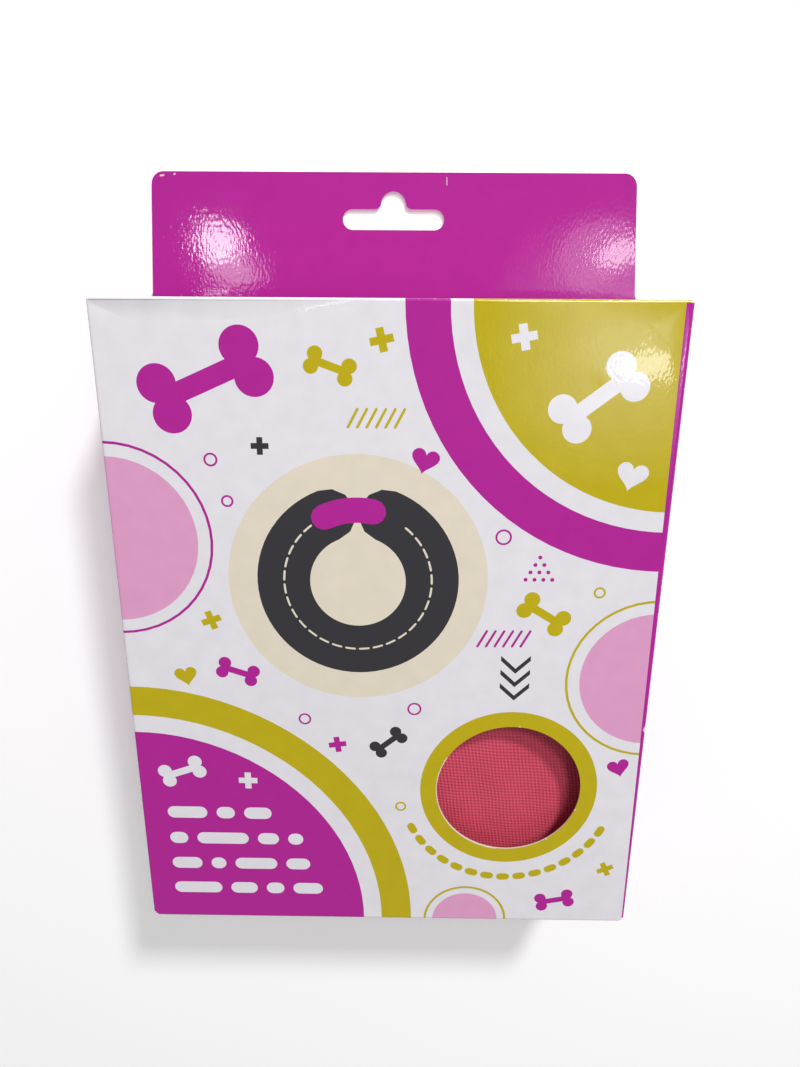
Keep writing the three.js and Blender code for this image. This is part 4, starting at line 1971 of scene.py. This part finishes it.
    def build_tether(self, vinyl: bpy.types.Material) -> None:
        """Models the strip that holds the plug to the stem.

        Args:
            vinyl: The valve's plastic.
        """
        path = [(4.7, 48.6), (5.9, 48.7), (6.9, 49.3), (7.2, 50.2), (6.6, 51.0), (5.2, 51.3), (2.6, 51.25)]
        steps = len(path) - 1
        tether = add_primitive(
            "plug_tether",
            bpy.ops.mesh.primitive_grid_add,
            x_subdivisions=1,
            y_subdivisions=steps,
            size=2,
            calc_uvs=False,
        )
        for vertex in tether.data.vertices:
            out, up = path[round((vertex.co.y + 1) / 2 * steps)]
            across = self.valve_place.x + vertex.co.x * self.tether_half
            vertex.co = Vector((across, self.valve_place.y + out, up)) * MM
        apply_modifier(tether, "SOLIDIFY", thickness=self.tether_thickness * MM, offset=0)
        apply_modifier(tether, "SUBSURF", levels=2, render_levels=2)
        bpy.ops.object.shade_smooth()
        tether.data.materials.append(vinyl)
        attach(tether, "package")

    def build_port(self) -> None:
        """Models the bound edge of the port in the cloth, with its ring of stitches."""
        x, y = self.valve_place.x, self.valve_place.y
        level = self.skin.on_face(self.valve_station, 0, 1).z
        place = (x * MM, y * MM, level * MM)
        binding = add_primitive(
            "port_binding",
            bpy.ops.mesh.primitive_torus_add,
            major_radius=self.port_radius * MM,
            minor_radius=self.port_roll * MM,
            major_segments=64,
            minor_segments=12,
            location=place,
        )
        edit_all(bpy.ops.transform.resize, value=(1, 1, self.port_flatness), center_override=place)
        weave = binding.data.uv_layers.new(name="weave")
        for loop in binding.data.loops:
            weave.data[loop.index].uv = binding.data.vertices[loop.vertex_index].co.xy
        bpy.ops.object.shade_smooth()
        binding.data.materials.append(self.woven)
        stitches = []
        for number in range(self.port_stitch_count):
            turn = 2 * math.pi * number / self.port_stitch_count
            out = Vector((math.cos(turn), math.sin(turn), 0))
            middle = Vector((x, y, level + self.port_stitch_lift)) + out * self.port_radius
            stitches.append(Stitch(middle, out, UP))
        rows = StitchRows(1.9, 0.5).build("port_stitches", stitches, self.thread)
        for piece in (binding, rows):
            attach(piece, "package")

    def strap_point(self, across: float, share: float, lift: float) -> Vector:
        """Finds a point of the strap.

        Args:
            across: From -1 at its inner edge to 1 at its outer one.
            share: From 0 at its sewn root to 1 at its tip.
            lift: Height over the cover's face.

        Returns:
            The point.
        """
        station = self.course.station(self.course.front_layer, self.course.sweep - share * self.strap_sweep)
        length = math.radians(self.strap_sweep) * self.course.tube_middle
        half = (self.strap_root + (self.strap_tip - self.strap_root) * share) / 2
        corner, left = self.strap_corner, (1 - share) * length
        if left < corner:
            half -= corner - math.sqrt(corner * corner - (corner - left) ** 2)
        return self.skin.on_face(station, across * half / self.skin.half_span, 1, lift)

    def strap_stitch(self, across: float, share: float, step_across: float, step_share: float) -> Stitch:
        """Sets a stitch on the strap.

        Args:
            across: Its place across the strap.
            share: Its place along the strap.
            step_across: How its thread runs, across the strap.
            step_share: How its thread runs, along the strap.

        Returns:
            The stitch.
        """
        lift = self.strap_stitch_lift
        middle = self.strap_point(across, share, lift)
        return Stitch(middle, self.strap_point(across + step_across, share + step_share, lift) - middle, UP)

    def build_strap(self) -> None:
        """Models the hook-and-loop strap, sewn to the end of the collar and folded back over it."""
        add_grid = bpy.ops.mesh.primitive_grid_add
        strap = add_primitive("hook_and_loop_strap", add_grid, x_subdivisions=20, y_subdivisions=44, size=2)
        for vertex in strap.data.vertices:
            vertex.co = self.strap_point(vertex.co.x, (vertex.co.y + 1) / 2, self.strap_lift) * MM
        edit_all(bpy.ops.mesh.normals_make_consistent, inside=False)
        if strap.data.polygons[0].normal.z < 0:
            strap.data.flip_normals()
        apply_modifier(strap, "SOLIDIFY", thickness=self.strap_thickness * MM, offset=1)
        round_edges(strap, width_mm=0.35, segments=2, over_degrees=50)
        bpy.ops.object.shade_smooth_by_angle(angle=math.radians(50))
        strap.data.materials.append(LoopTape().build())
        (edge, reach), (along_count, cross_count) = self.strap_row_reach, self.strap_row_counts
        along, across = middles(0.03, 0.87, along_count), middles(-reach, reach, cross_count)
        long_rows = [self.strap_stitch(side, share, 0, 0.01) for side in (-edge, edge) for share in along]
        cross_rows = [self.strap_stitch(place, share, 0.02, 0) for share in (0.03, 0.2) for place in across]
        dark_thread = self.spool("charcoal_thread", "#3B3B40")
        stitches = StitchRows(2.4, 0.5).build("strap_stitches", long_rows + cross_rows, dark_thread)
        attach(strap, "package")
        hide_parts("closure_strap")
        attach(stitches, "package")

    def build(self) -> None:
        """Builds the collar's pieces."""
        self.build_cover()
        self.build_stitches()
        self.build_bladder()
        self.build_valve()
        self.build_strap()


class Lamp(NamedTuple):
    """A soft lamp: where it hangs and its two sides in metres, its power, and how far its long side is turned."""

    name: str
    place: tuple[float, float, float]
    size: Flat
    watts: float
    spin: float = 0


@dataclass
class Studio:
    """Floor, lamps and camera. The camera was fitted to the corners of the carton in the photograph."""

    camera_place: tuple[float, float, float] = (0.0054, 0.0899, 0.2708)
    camera_turn: tuple[float, float, float] = (-0.316, 0.012, 0.006)
    lens_mm: float = 26.85
    sensor_mm: float = 36.0
    near_limit: float = 0.01
    aim: tuple[float, float, float] = (0.0, 0.0, 0.03)
    floor_size: float = 6.0
    floor_gap: float = 0.00005
    sky_strength: float = 0.24

    def build_camera(self) -> None:
        """Adds the camera."""
        camera = bpy.data.objects.new("camera", bpy.data.cameras.new("camera"))
        camera.location = self.camera_place
        camera.rotation_euler = self.camera_turn
        camera.data.lens = self.lens_mm
        camera.data.sensor_width = self.sensor_mm
        camera.data.clip_start = self.near_limit
        bpy.context.collection.objects.link(camera)
        bpy.context.scene.camera = camera

    def build_floor(self) -> None:
        """Adds the floor, a wide sheet of paper just clear of the carton's back."""
        floor = add_primitive("floor", bpy.ops.mesh.primitive_plane_add, size=self.floor_size)
        edit_all(bpy.ops.transform.translate, value=(0, 0, -self.floor_gap))
        floor.data.materials.append(StudioPaper().build())

    def lamps(self) -> list[Lamp]:
        """Lists the lamps: two give the light and the floor's shadow, and the others are seen in the gloss film.

        Returns:
            The lamps.
        """
        soft_right = [
            Lamp(
                f"soft_right_{step}",
                (0.46, -0.05, 1.5 + 0.004 * step),
                (0.12 + 0.11 * step, 0.18 + 0.1 * step),
                0.07 + 0.07 * step,
            )
            for step in range(5)
        ]
        return [
            Lamp("key", (0.36, 1.02, 1.40), (0.38, 0.38), 9.5),
            Lamp("low_window", (0.77, 1.86, 1.45), (0.30, 0.30), 40),
            *soft_right,
            Lamp("strip_right", (0.52, -0.08, 1.5), (0.06, 0.18), 0.2, 20),
            Lamp("spot_right", (0.44, 0.135, 1.5), (0.055, 0.1), 0.13),
            Lamp("spot_right_edge", (0.40, 0.13, 1.506), (0.13, 0.18), 0.09),
            Lamp("spot_left", (-0.396, 0.153, 1.5), (0.075, 0.085), 0.28),
            Lamp("spot_left_tail", (-0.374, 0.096, 1.5), (0.085, 0.12), 0.13),
        ]

    def hang(self, lamp: Lamp) -> None:
        """Hangs a lamp so that it faces the carton.

        Args:
            lamp: The lamp.
        """
        data = bpy.data.lights.new(lamp.name, "AREA")
        data.shape = "ELLIPSE"
        data.size, data.size_y = lamp.size
        data.energy = lamp.watts
        piece = bpy.data.objects.new(lamp.name, data)
        piece.location = lamp.place
        piece.rotation_euler = (Vector(self.aim) - Vector(lamp.place)).to_track_quat("-Z", "Y").to_euler()
        piece.rotation_euler.rotate_axis("Z", math.radians(lamp.spin))
        bpy.context.collection.objects.link(piece)

    def build(self) -> None:
        """Builds the studio."""
        self.build_camera()
        self.build_floor()
        for lamp in self.lamps():
            self.hang(lamp)
        world = bpy.data.worlds.new("studio")
        world.use_nodes = True
        sky = world.node_tree.nodes["Background"]
        sky.inputs["Color"].default_value = (1, 1, 1, 1)
        sky.inputs["Strength"].default_value = self.sky_strength
        bpy.context.scene.world = world
        bpy.context.scene.view_settings.view_transform = "Standard"


def main() -> None:
    """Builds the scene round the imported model."""
    logging.basicConfig(level=logging.INFO, format="%(name)s: %(message)s")
    Studio().build()
    low, high = (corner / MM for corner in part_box("carton"))
    hinge = Vector(frame["joints"][0]["pos_m"]) / MM
    openings = {opening["name"]: opening["box_m"] for opening in frame["record"]["physics"]["openings"]}
    window, slot = (
        [(a + b) / 2 / MM for a, b in zip(*openings[name])][:2] for name in ("window", "hanging_slot_arms")
    )
    carton = Carton(
        width=high.x - low.x,
        depth=high.z,
        low=low.y,
        lid_level=hinge.y,
        top=high.y,
        window=(window[0], window[1]),
        slot=(slot[0], slot[1] - Carton.slot_arm_radius),
    )
    carton.build()

    soft_low, soft_high = (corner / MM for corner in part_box("collar_cover"))
    reach = FoldedCourse.neck_radius + FoldedCourse.tube_width
    centre = (soft_low.x + reach, soft_low.y + reach)
    Collar(FoldedCourse(centre, (soft_low.z + soft_high.z) / 2)).build()


if __name__ == "__main__":
    main()
